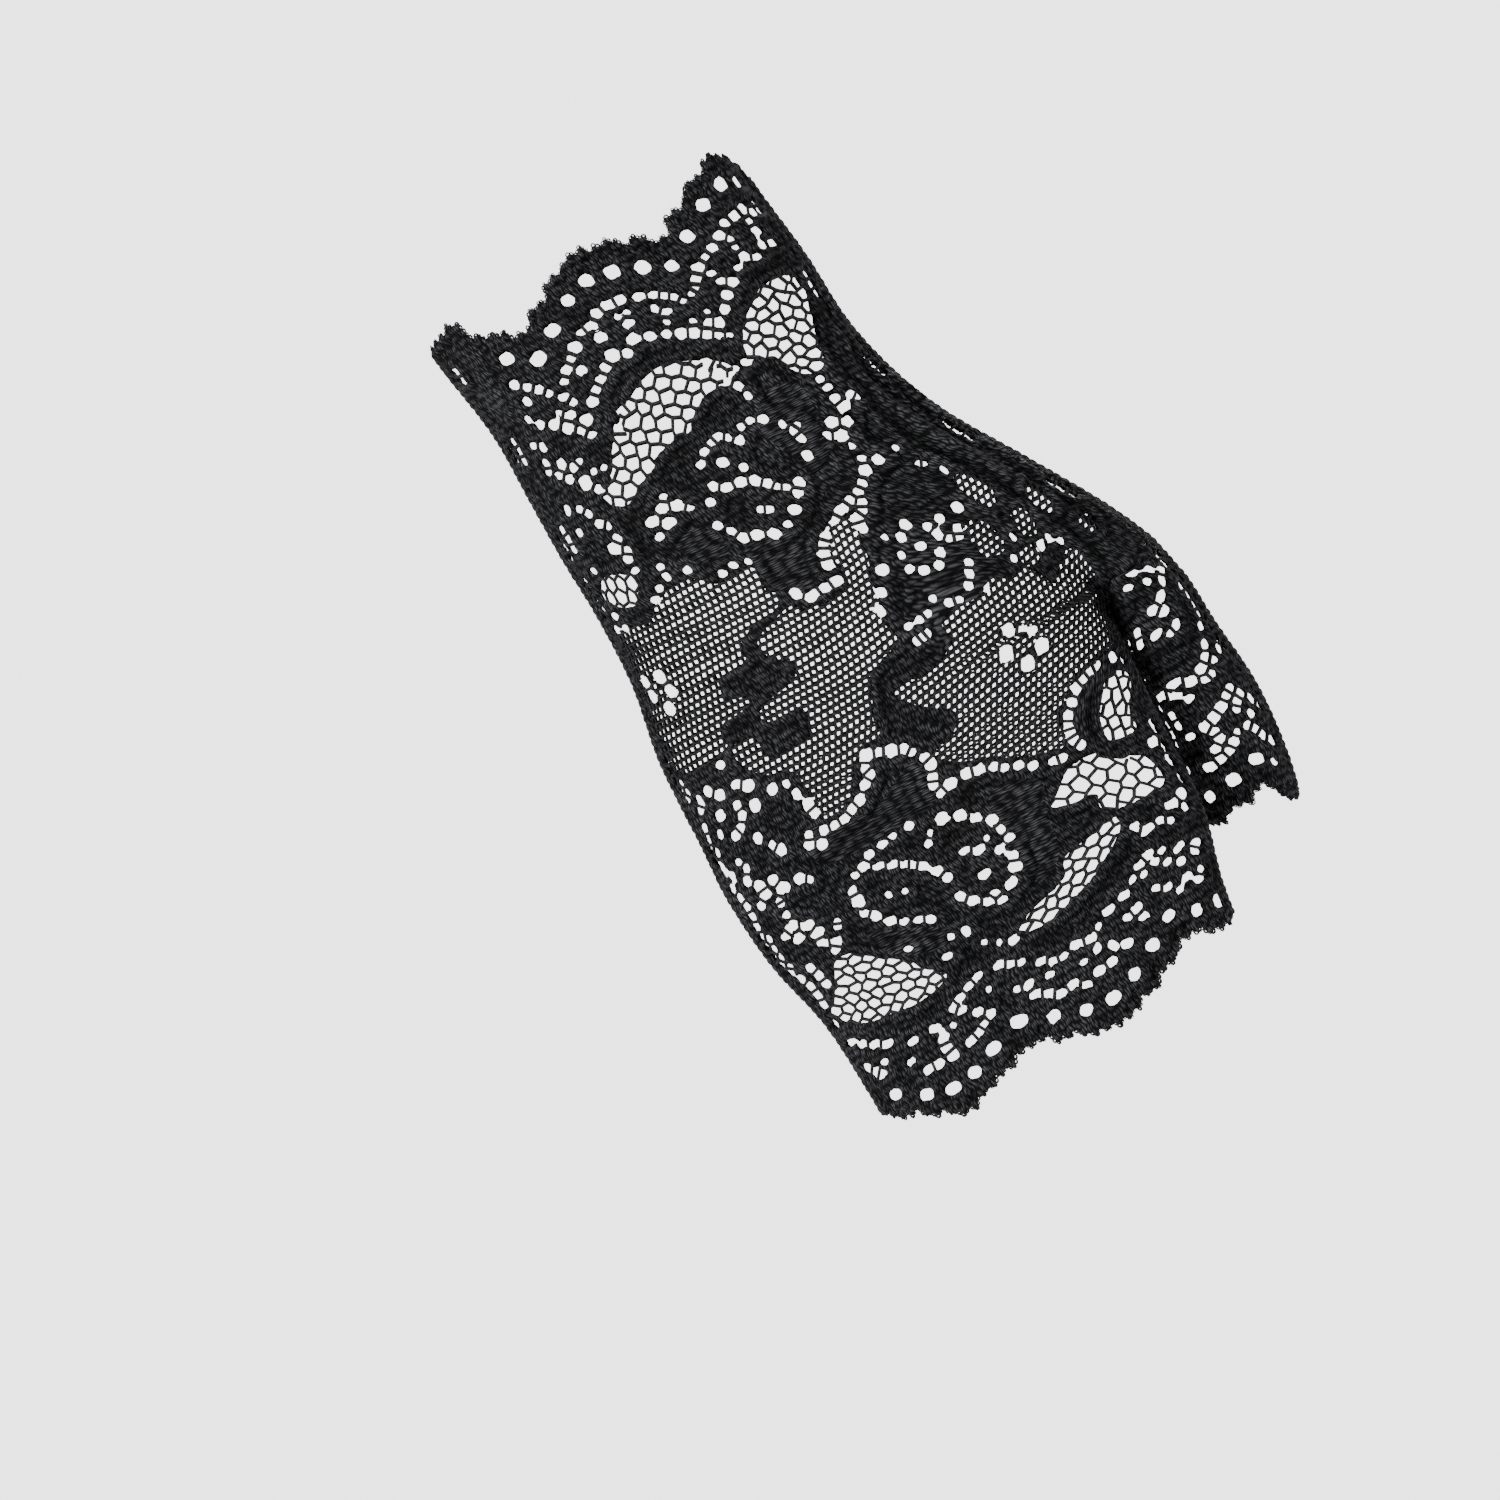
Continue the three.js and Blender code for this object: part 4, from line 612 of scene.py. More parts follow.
def smooth_loop(points, parts=5):
    """More points on a smooth closed line through the given ones."""
    p1 = np.array(points, float)
    p0, p2, p3 = (np.roll(p1, k, axis=0) for k in (1, -1, -2))
    t = (np.arange(parts) / parts)[:, None, None]
    loop = 0.5 * (2 * p1 + (p2 - p0) * t + (2 * p0 - 5 * p1 + 4 * p2 - p3) * t**2
                  + (3 * p1 - p0 - 3 * p2 + p3) * t**3)
    return loop.transpose(1, 0, 2).reshape(-1, 2)


def laid_loop(points):
    loop = smooth_loop(points)
    return np.column_stack([form.chart(loop[:, 0], loop[:, 1]), loop[:, 1]])


# How square a hole is: 2 is an ellipse
HOLE_POWER = 3.0
# Holes open a little wider than they are charted, small ones more
SMALL_HOLE_GROWTH = 0.19
LARGE_HOLE_GROWTH = 0.08
SMALL_HOLE_REACH = 2.2
# Walls thinner than this are left to a thread
NECK = 0.7
LEAST_HOLE, WIDEST_HOLE, WIDEST_STRETCH = 0.95, 3.5, 2.2
# Holes whose middles are this near are looked at in pairs
NEAR = 5.5
# Holes that touch shrink step by step until this wall fits between them
LEAST_WALL = 0.3
PARTING_STEPS, PARTING_RATE, PARTED_HOLE = 14, 0.95, 0.8
SEAM_ALLOWANCE = 2.4
# The chains of holes beside the seams: their pitch, how they wave, and how far they keep from the rest
SIDE_CHAIN = {"pitch": 2.15, "inset": 4.6, "wave": 1.2, "holes_per_wave": 9,
              "from_nets": 1.4, "from_holes": 1.6}
# The threads between close holes: half their length, the points along them and how far a third hole counts
WALL_LINE = {"reach": 2.4, "points": 13, "third": 6}


def hole_distance(hole, u, z):
    """How far places lie outside a hole of rounded, slightly turned form."""
    hole_u, hole_z, width, height, turn = hole
    a, b = width / 2, height / 2
    du, dz = u - hole_u, z - hole_z
    across = np.abs(du * np.cos(turn) + dz * np.sin(turn)) / a
    along = np.abs(dz * np.cos(turn) - du * np.sin(turn)) / b
    level = np.maximum((across**HOLE_POWER + along**HOLE_POWER) ** (1 / HOLE_POWER), 1e-6)
    slope = np.hypot((across / level) ** (HOLE_POWER - 1) / a, (along / level) ** (HOLE_POWER - 1) / b)
    return (level - 1) / np.maximum(slope, 1 / np.maximum(a, b))


def hole_reach(holes, index, away):
    """From a hole's middle to its rim, in the direction away."""
    a, b = holes[index, 2] / 2, holes[index, 3] / 2
    power = (np.abs(away[:, 0]) / a) ** HOLE_POWER + (np.abs(away[:, 1]) / b) ** HOLE_POWER
    return power ** (-1 / HOLE_POWER)


def near_pairs(holes, reach):
    """Pairs of holes less than reach apart, the direction from one to the other, and the gap between them."""
    first, second = np.triu_indices(len(holes), 1)
    away = holes[second, :2] - holes[first, :2]
    distance = np.hypot(away[:, 0], away[:, 1])
    near = distance < reach
    first, second, away, distance = first[near], second[near], away[near], distance[near]
    away /= distance[:, None]
    gap = distance - hole_reach(holes, first, away) - hole_reach(holes, second, away)
    return first, second, away, gap


def part_holes(holes):
    """Makes holes that touch smaller, until a wall of thread fits between them."""
    for _ in range(PARTING_STEPS):
        first, second, _, gap = near_pairs(holes, NEAR)
        tight = np.unique(np.concatenate([first[gap < LEAST_WALL], second[gap < LEAST_WALL]]))
        holes[tight, 2:4] = np.maximum(holes[tight, 2:4] * PARTING_RATE, PARTED_HOLE)
    return holes


def side_holes():
    """Wavy chains of holes beside each seam, laid from its line inwards."""
    chains = [
        # the seam's row of the form, its side, and where the chain starts and ends
        (form.u_left, 1, 33.0, -124.0), (form.u_right, -1, 33.0, -104.0), (form.u_split, 1, -76.0, -104.0),
    ]
    pitch, inset, swing = SIDE_CHAIN["pitch"], SIDE_CHAIN["inset"], SIDE_CHAIN["wave"]
    holes = []
    for seam, side, start, end in chains:
        for k in range(int((start - end) / pitch)):
            z = start - pitch * k
            u = float(form.row_value(seam, z))
            wave = math.cos(2 * math.pi * k / SIDE_CHAIN["holes_per_wave"])
            holes.append((u + side * (inset + swing * wave), z, 1.5, 1.4, 0.2 * wave))
            if wave < -0.4:
                holes.append((u + side * (6.4 + swing * wave), z - 1.0, 1.3, 1.2, 0.0))
            if wave > 0.4:
                holes.append((u + side * (8.2 + 0.9 * wave), z + 1.0, 1.5, 1.4, 0.0))
    return np.array(holes)


def tooth(u):
    """How far the teeth of the edges stand out from the line through their middles."""
    return TOOTH["height"] * (np.abs(2 * ((u / TOOTH["pitch"]) % 1) - 1) - 0.5)


class Pattern:
    """The lace's pattern on a grid over the chart, as distances in millimetres."""

    def __init__(self):
        self.u = np.arange(form.u_left.min() - 2, form.u_right.max() + 2, GRID)
        self.z = np.arange(*GRID_Z, GRID)
        self.gu, self.gz = np.meshgrid(self.u, self.z)
        self.outline = self.outline_field()
        inside_seams = self.outline - SEAM_ALLOWANCE
        self.fine = np.minimum(self.union(FINE_NET), inside_seams)
        self.open = [(self.union([outline]), *cells) for outline, *cells in OPEN_NET]
        self.nets = np.maximum.reduce([self.fine, *[distance for distance, *_ in self.open]])
        self.holes = self.lay_holes()
        scattered, flowers = np.split(self.holes, [len(self.holes) - len(FLOWER_HOLES)])
        self.flowers = self.hole_field(flowers, 0.0)
        self.bare = np.minimum(self.hole_field(scattered, NECK), self.flowers)
        self.ribbed = self.union(RIBBED)
        body = np.maximum(-self.nets, FLOWER_RIM - self.flowers)
        uneven = rng.normal(0, EDGE_SPREAD, body.shape)
        self.cloth = np.minimum(np.minimum(body, self.bare) + uneven, self.outline)

    def window(self, low, high, margin=FAR):
        rows = slice(*np.searchsorted(self.z, (low[1] - margin, high[1] + margin)))
        columns = slice(*np.searchsorted(self.u, (low[0] - margin, high[0] + margin)))
        return rows, columns

    def union(self, outlines):
        """Distance to the nearest edge of the outlines, positive inside them."""
        field = np.full(self.gu.shape, -FAR)
        for outline in outlines:
            loop = laid_loop(outline)
            area = self.window(loop.min(axis=0), loop.max(axis=0))
            pu, pz = self.gu[area].ravel(), self.gz[area].ravel()
            nearest, inside = np.full(len(pu), np.inf), np.zeros(len(pu), bool)
            for (u1, z1), (u2, z2) in zip(loop, np.roll(loop, -1, axis=0)):
                du, dz = u2 - u1, z2 - z1
                t = np.clip(((pu - u1) * du + (pz - z1) * dz) / max(du * du + dz * dz, 1e-12), 0, 1)
                nearest = np.minimum(nearest, (pu - u1 - t * du) ** 2 + (pz - z1 - t * dz) ** 2)
                if z1 != z2:
                    inside ^= ((z1 > pz) != (z2 > pz)) & (pu < du * (pz - z1) / dz + u1)
            distance = np.where(inside, 1, -1) * np.sqrt(nearest)
            field[area] = np.maximum(field[area], distance.reshape(field[area].shape))
        return field

    def lay_holes(self):
        """The holes on the chart, more beside the seams where the cloth turns away, and the flowers' last."""
        holes = np.array(HOLES + FLOWER_HOLES)
        centres = form.chart(holes[:, 0], holes[:, 1])
        spread = form.chart(holes[:, 0] + 0.3, holes[:, 1]) - form.chart(holes[:, 0] - 0.3, holes[:, 1])
        widths = np.clip(holes[:, 2] * np.clip(spread / 0.6, 1, WIDEST_STRETCH), LEAST_HOLE, WIDEST_HOLE)
        heights = np.maximum(holes[:, 3], LEAST_HOLE)
        turns = rng.normal(0, TURN_SPREAD, len(holes))
        laid = np.column_stack([centres, holes[:, 1], widths, heights, turns])
        extra = side_holes()
        crowded = self.sample(self.nets, extra[:, 0], extra[:, 1]) > -SIDE_CHAIN["from_nets"]
        gap = np.hypot(extra[:, None, 0] - laid[None, :, 0], extra[:, None, 1] - laid[None, :, 1])
        gap -= laid[None, :, 2:4].mean(axis=2) / 2
        crowded |= gap.min(axis=1) < SIDE_CHAIN["from_holes"]
        flowers = len(FLOWER_HOLES)
        return part_holes(np.concatenate([laid[:-flowers], extra[~crowded], laid[-flowers:]]))

    def hole_field(self, holes, neck):
        """Distance outside the nearest hole, negative inside it and in the narrow necks between holes."""
        nearest, second = np.full(self.gu.shape, FAR), np.full(self.gu.shape, FAR)
        for hole in holes:
            reach = hole[2:4] / 2
            area = self.window(hole[:2] - reach, hole[:2] + reach, 3.0)
            growth = SMALL_HOLE_GROWTH if reach.sum() < SMALL_HOLE_REACH else LARGE_HOLE_GROWTH
            distance = hole_distance(hole, self.gu[area], self.gz[area]) - growth
            second[area] = np.minimum(second[area], np.maximum(nearest[area], distance))
            nearest[area] = np.minimum(nearest[area], distance)
        return np.minimum(nearest, (nearest + second - neck) / 2)

    def outline_field(self):
        """Distance inside the panel's own outline."""
        left, right, split = (form.row_value(v, self.gz) for v in (form.u_left, form.u_right, form.u_split))
        cuff, fingers, thumb = (np.array(e) for e in (CUFF_EDGE, FINGER_EDGE, THUMB_EDGE))
        top = np.interp(self.gu, form.chart(cuff[:, 0], cuff[:, 1]), cuff[:, 1])
        low = np.interp(self.gu, form.chart(fingers[:, 0], fingers[:, 1]), fingers[:, 1])
        thumb_low = np.interp(self.gu, form.chart(thumb[:, 0], thumb[:, 1]), thumb[:, 1])
        bottom = np.where(self.gu > split, thumb_low, low)
        top, bottom = top + tooth(self.gu), bottom - tooth(self.gu)
        slit = np.hypot(self.gu - split, np.maximum(self.gz - SPLIT_Z + SLIT_HALF_WIDTH, 0)) - SLIT_HALF_WIDTH
        return np.minimum.reduce([
            self.gu - left - SETBACK, right - SETBACK - self.gu, top - self.gz, self.gz - bottom, slit])

    def sample(self, field, u, z):
        cu = np.clip((u - self.u[0]) / GRID, 0, len(self.u) - 1.001)
        cz = np.clip((z - self.z[0]) / GRID, 0, len(self.z) - 1.001)
        j, i = cu.astype(int), cz.astype(int)
        s, t = cu - j, cz - i
        low = field[i, j] * (1 - s) + field[i, j + 1] * s
        high = field[i + 1, j] * (1 - s) + field[i + 1, j + 1] * s
        return low * (1 - t) + high * t


pattern = Pattern()


def hole_wall_lines():
    """The thin threads between holes that lie close together."""
    holes = pattern.holes
    first, second, away, gap = near_pairs(holes, NEAR)
    close = gap < NECK + 2 * SMALL_HOLE_GROWTH
    first, second, away, gap = first[close], second[close], away[close], gap[close]
    start = holes[first, :2] + away * (hole_reach(holes, first, away) + gap / 2)[:, None]
    steps = np.linspace(-WALL_LINE["reach"], WALL_LINE["reach"], WALL_LINE["points"])
    u = start[:, 0, None] - away[:, 1, None] * steps
    z = start[:, 1, None] + away[:, 0, None] * steps
    pair = np.minimum(*(hole_distance(holes[index].T[:, :, None], u, z) for index in (first, second)))
    third = np.full(u.shape, FAR)
    for k, hole in enumerate(holes):
        near = np.hypot(start[:, 0] - hole[0], start[:, 1] - hole[1]) < WALL_LINE["third"]
        rows = np.nonzero(near & (first != k) & (second != k))[0]
        third[rows] = np.minimum(third[rows], hole_distance(hole, u[rows], z[rows]))
    keep = np.minimum(0.45 - pattern.sample(pattern.bare, u, z), third - pair + 0.05)
    keep = np.minimum(keep, pattern.sample(pattern.outline, u, z) - 0.3)
    index = np.arange(u.size).reshape(u.shape)
    edges = np.column_stack([index[:, :-1].ravel(), index[:, 1:].ravel()])
    return clip_lines(u.ravel(), z.ravel(), edges, keep.ravel())


# Cloth and thread

# Half the cloth's thickness, and how far in from its edges it is that thick
CLOTH_HALF, EDGE_ROUNDING = 0.36, 0.6
# The raised cord along all edges and the hollow beside it: how far in from the edge, how wide, how high
CORD = {"at": 1.1, "width": 0.55, "height": 0.42, "hollow_at": 2.3, "hollow_width": 0.5, "hollow": 0.8}
# Grid points nearer to the edge than this count as inside, so that no face is a sliver
ON_EDGE = 0.04
# The faces of one square of the grid for each choice of corners that hold cloth: n0 to n3 are its corners
# and e0 to e3 the points where the cloth's edge crosses its sides
CORNERS = {
    1: [("n0", "e0", "e3")], 2: [("n1", "e1", "e0")], 3: [("n0", "n1", "e1", "e3")], 4: [("n2", "e2", "e1")],
    5: [("n0", "e0", "e3"), ("n2", "e2", "e1")], 6: [("n1", "n2", "e2", "e0")],
    7: [("n0", "n1", "n2", "e2", "e3")], 8: [("n3", "e3", "e2")], 9: [("n0", "e0", "e2", "n3")],
    10: [("n1", "e1", "e0"), ("n3", "e3", "e2")], 11: [("n0", "n1", "e1", "e2", "n3")],
    12: [("n2", "n3", "e3", "e1")], 13: [("n0", "e0", "e1", "n2", "n3")],
    14: [("n1", "n2", "n3", "e3", "e0")], 15: [("n0", "n1", "n2", "n3")],
}


def cut_cloth(field):
    """The flat cloth where field is positive: its points as (u, z, on_edge) and its faces."""
    field = np.where(np.abs(field) < ON_EDGE, ON_EDGE, field)
    inside = field > 0
    count = int(inside.sum())
    node = np.full(field.shape, -1)
    node[inside] = np.arange(count)
    cross_u = inside[:, :-1] != inside[:, 1:]
    cross_z = inside[:-1, :] != inside[1:, :]
    edge_u, edge_z = np.full(cross_u.shape, -1), np.full(cross_z.shape, -1)
    edge_u[cross_u] = count + np.arange(cross_u.sum())
    edge_z[cross_z] = count + cross_u.sum() + np.arange(cross_z.sum())
    share_u = field[:, :-1][cross_u] / (field[:, :-1][cross_u] - field[:, 1:][cross_u])
    share_z = field[:-1, :][cross_z] / (field[:-1, :][cross_z] - field[1:, :][cross_z])
    u = np.concatenate([pattern.gu[inside], pattern.gu[:, :-1][cross_u] + GRID * share_u,
                        pattern.gu[:-1, :][cross_z]])
    z = np.concatenate([pattern.gz[inside], pattern.gz[:, :-1][cross_u],
                        pattern.gz[:-1, :][cross_z] + GRID * share_z])
    ids = {"n0": node[:-1, :-1], "n1": node[:-1, 1:], "n2": node[1:, 1:], "n3": node[1:, :-1],
           "e0": edge_u[:-1, :], "e2": edge_u[1:, :], "e3": edge_z[:, :-1], "e1": edge_z[:, 1:]}
    code = (inside[:-1, :-1] * 1 + inside[:-1, 1:] * 2 + inside[1:, 1:] * 4 + inside[1:, :-1] * 8)
    faces = []
    for case, loops in CORNERS.items():
        cells = code == case
        for loop in loops:
            faces.extend(np.stack([ids[name][cells] for name in loop], axis=1).tolist())
    return u, z, count, faces


def new_object(name, mesh):
    piece = bpy.data.objects.new(name, mesh)
    bpy.context.scene.collection.objects.link(piece)
    return piece


def set_attribute(mesh, name, kind, values):
    layer = mesh.attributes.new(name, kind, "POINT")
    key = "vector" if kind == "FLOAT_VECTOR" else "value"
    layer.data.foreach_set(key, np.ascontiguousarray(values, dtype=np.float32).ravel())


def make_cloth(name, side, material):
    u, z, nodes, faces = cut_cloth(pattern.cloth)
    depth = pattern.sample(pattern.cloth, u, z)
    ribbed = pattern.sample(pattern.ribbed, u, z)
    half = CLOTH_HALF * np.sqrt(np.clip(depth / EDGE_ROUNDING, 0, 1))
    hollow = CORD["hollow"] * bell((depth - CORD["hollow_at"]) / CORD["hollow_width"])
    cord = CORD["height"] * (bell((depth - CORD["at"]) / CORD["width"]) - hollow)
    half[nodes:] = 0
    outer = form.lay(side, u, z, half + np.where(half > 0, cord, 0))
    inner = form.lay(side, u[:nodes], z[:nodes], -half[:nodes])
    points = np.concatenate([outer, inner]) * MM
    under = np.concatenate([np.arange(nodes) + len(u), np.arange(nodes, len(u))])
    below = [[int(under[k]) for k in reversed(face)] for face in faces]
    both = faces + below
    if side == "palm":
        both = [face[::-1] for face in both]
    mesh = bpy.data.meshes.new(name)
    mesh.from_pydata(points.tolist(), [], both)
    mesh.validate()
    chart = np.column_stack([form.lean(u, z), z, depth])
    crease = form.creases(u, z)
    set_attribute(mesh, "cloth", "FLOAT_VECTOR", np.concatenate([chart, chart[:nodes]]))
    set_attribute(mesh, "ribbed", "FLOAT", np.concatenate([ribbed, ribbed[:nodes]]))
    set_attribute(mesh, "crease", "FLOAT", np.concatenate([crease, crease[:nodes]]))
    mesh.polygons.foreach_set("use_smooth", np.ones(len(mesh.polygons), bool))
    mesh.materials.append(material)
    return new_object(name, mesh)


def clip_lines(u, z, edges, keep):
    """Cuts straight pieces of thread to where keep is positive."""
    a, b = edges[:, 0], edges[:, 1]
    ka, kb = keep[a], keep[b]
    whole = (ka > 0) & (kb > 0)
    cut = (ka > 0) != (kb > 0)
    a, b, ka, kb = a[cut], b[cut], ka[cut], kb[cut]
    t = ka / (ka - kb)
    new_u, new_z = u[a] + (u[b] - u[a]) * t, z[a] + (z[b] - z[a]) * t
    start = np.where(ka > 0, a, b)
    fresh = len(u) + np.arange(len(start))
    edges = np.concatenate([edges[whole], np.column_stack([start, fresh])])
    u, z = np.concatenate([u, new_u]), np.concatenate([z, new_z])
    used = np.unique(edges)
    renumber = np.full(len(u), -1)
    renumber[used] = np.arange(len(used))
    return u[used], z[used], renumber[edges]


# The fine net: the pitch of its courses and of the bars between them, and the heights it lies between
FINE = {"course": 1.42, "wale": 1.34, "slant": 0.32, "bar_shift": 0.12, "spread": 0.035,
        "top": 10, "foot": -120}
COURSE_RISE = {"from_u": -14, "to_u": 6, "slope": 0.20}
# How far apart an open net's cells may stray from an even honeycomb, as shares of a cell
OPEN_SPREAD = {"along": 0.10, "across": 0.07}


def course_rise(u):
    """The courses of the fine net bend up and then rise evenly towards the index edge."""
    span = COURSE_RISE["to_u"] - COURSE_RISE["from_u"]
    bend = np.clip(u - COURSE_RISE["from_u"], 0, span)
    return COURSE_RISE["slope"] * (bend**2 / (2 * span) + np.maximum(u - COURSE_RISE["to_u"], 0))


def fine_net_lines(shift):
    """The fine net: wavy courses of thread and short slanted bars between them."""
    keep_field = np.minimum.reduce([
        pattern.fine + 0.5, pattern.bare - 0.12, pattern.outline - 0.3, 0.6 - pattern.cloth])
    half = FINE["wale"] / 2
    columns = np.arange(pattern.u[0], pattern.u[-1], half) + shift * FINE["wale"]
    rows = np.arange(int(FINE["foot"] / FINE["course"]), int(FINE["top"] / FINE["course"]))
    jj, ii = np.meshgrid(np.arange(len(columns)), np.arange(len(rows)))
    drift = 0.10 * np.sin(ii * 1.7 + jj * 0.13) + 0.07 * np.sin(ii * 0.6 + jj * 0.41)
    u = columns[jj] + drift + rng.normal(0, FINE["spread"], jj.shape)
    z = ((rows[ii] + shift) * FINE["course"] + course_rise(u) + 0.10 * (-1.0) ** (jj + ii)
         + 0.16 * np.sin(jj * 0.09 + ii * 0.5) + rng.normal(0, FINE["spread"], jj.shape))
    index = ii * len(columns) + jj
    courses = np.column_stack([index[:, :-1].ravel(), index[:, 1:].ravel()])
    bar = ((ii + jj) % 2 == 0)[:-1]
    base, head = index[:-1][bar], index[1:][bar]
    all_u = np.concatenate([u.ravel(), u.ravel()[base] - FINE["bar_shift"],
                            u.ravel()[head] + FINE["slant"] - FINE["bar_shift"]])
    all_z = np.concatenate([z.ravel(), z.ravel()[base], z.ravel()[head]])
    first = u.size
    bars = np.column_stack([first + np.arange(len(base)), first + len(base) + np.arange(len(base))])
    keep = pattern.sample(keep_field, all_u, all_z)
    inside = (all_u > pattern.u[0]) & (all_z > pattern.z[0]) & (all_z < pattern.z[-1])
    keep = np.where(inside, keep, -FAR)
    return clip_lines(all_u, all_z, np.concatenate([courses, bars]), keep)


def open_net_lines(distance, turn, width, height):
    """One field of open net: a honeycomb of thread, a little uneven."""
    keep_field = np.minimum.reduce([distance + 0.5, pattern.bare - 0.1, pattern.outline - 0.3])
    inside = distance > 0
    middle = np.array([pattern.gu[inside].mean(), pattern.gz[inside].mean()])
    reach = np.hypot(np.ptp(pattern.gu[inside]), np.ptp(pattern.gz[inside])) / 2 + 4
    rows = np.arange(-int(reach / height) - 1, int(reach / height) + 2)
    columns = np.arange(-int(2 * reach / width) - 1, int(2 * reach / width) + 2)
    kk, rr = np.meshgrid(columns, rows)
    along = kk * width / 2 + rng.normal(0, OPEN_SPREAD["along"] * width, kk.shape)
    across = rr * height + np.where((kk + rr) % 2 == 0, 1, -1) * height / 5
    across += rng.normal(0, OPEN_SPREAD["across"] * height, kk.shape)
    angle = math.radians(turn)
    u = middle[0] + along * math.cos(angle) - across * math.sin(angle)
    z = middle[1] + along * math.sin(angle) + across * math.cos(angle)
    index = np.arange(kk.size).reshape(kk.shape)
    zigzag = np.column_stack([index[:, :-1].ravel(), index[:, 1:].ravel()])
    upright = ((kk + rr) % 2 == 0)[:-1]
    links = np.column_stack([index[:-1][upright], index[1:][upright]])
    u, z = u.ravel(), z.ravel()
    keep = pattern.sample(keep_field, u, z)
    return clip_lines(u, z, np.concatenate([zigzag, links]), keep)


def strung(lines):
    """The points of several lines as one list, and the edges along each line."""
    points, edges = [], []
    for line in lines:
        edges.extend([len(points) + k, len(points) + k + 1] for k in range(len(line) - 1))
        points.extend(line)
    return np.array(points), edges


# Geometry node trees

def tree_with(name, inputs):
    """A Geometry Nodes tree with named inputs."""
    tree = bpy.data.node_groups.new(name, "GeometryNodeTree")
    tree.interface.new_socket("Geometry", in_out="INPUT", socket_type="NodeSocketGeometry")
    for label, kind, default in inputs:
        socket = tree.interface.new_socket(label, in_out="INPUT", socket_type=f"NodeSocket{kind}")
        if default is not None:
            socket.default_value = default
    tree.interface.new_socket("Geometry", in_out="OUTPUT", socket_type="NodeSocketGeometry")
    return tree, tree.nodes.new("NodeGroupInput"), tree.nodes.new("NodeGroupOutput")


def new_nodes(tree, *kinds):
    return [tree.nodes.new(kind) for kind in kinds]


def in_a_row(tree, *nodes):
    """Links each node's first output to the next one's first input."""
    for node, following in zip(nodes, nodes[1:]):
        tree.links.new(node.outputs[0], following.inputs[0])


def join_up(tree, *links):
    """Links sockets by name: each link is a node and its output, then a node and its input."""
    for node, output, following, socket in links:
        tree.links.new(node.outputs[output], following.inputs[socket])


def thread_tree(name):
    """Lays a round thread along every line of a mesh."""
    tree, start, end = tree_with(name, [
        ("Thread Radius", "Float", 0.2 * MM), ("Sides", "Int", 3), ("Material", "Material", None)])
    to_curve, circle, sweep, smooth, realize, dress = new_nodes(
        tree, "GeometryNodeMeshToCurve", "GeometryNodeCurvePrimitiveCircle", "GeometryNodeCurveToMesh",
        "GeometryNodeSetShadeSmooth", "GeometryNodeRealizeInstances", "GeometryNodeSetMaterial")
    sweep.inputs["Fill Caps"].default_value = True
    in_a_row(tree, start, to_curve, sweep, smooth, realize, dress, end)
    join_up(tree, (start, "Thread Radius", circle, "Radius"), (start, "Sides", circle, "Resolution"),
            (circle, "Curve", sweep, "Profile Curve"), (start, "Material", dress, "Material"))
    return tree


def knotted_tree(name):
    """Lays thread along the lines of a mesh, with a small knot wherever lines end or meet."""
    tree, start, end = tree_with(name, [
        ("Thread Radius", "Float", 0.2 * MM), ("Sides", "Int", 5), ("Knot Radius", "Float", 0.4 * MM),
        ("Material", "Material", None)])
    threads, knots, knot, spread, join, realize, dress = new_nodes(
        tree, "GeometryNodeGroup", "GeometryNodeMeshToPoints", "GeometryNodeMeshIcoSphere",
        "GeometryNodeInstanceOnPoints", "GeometryNodeJoinGeometry", "GeometryNodeRealizeInstances",
        "GeometryNodeSetMaterial")
    threads.node_tree = tree_named("Thread along lines", thread_tree)
    knot.inputs["Subdivisions"].default_value = 1
    in_a_row(tree, start, threads, join, realize, dress, end)
    in_a_row(tree, start, knots, spread, join)
    join_up(tree, (start, "Thread Radius", threads, "Thread Radius"), (start, "Sides", threads, "Sides"),
            (start, "Knot Radius", knot, "Radius"), (knot, "Mesh", spread, "Instance"),
            (start, "Material", dress, "Material"))
    return tree


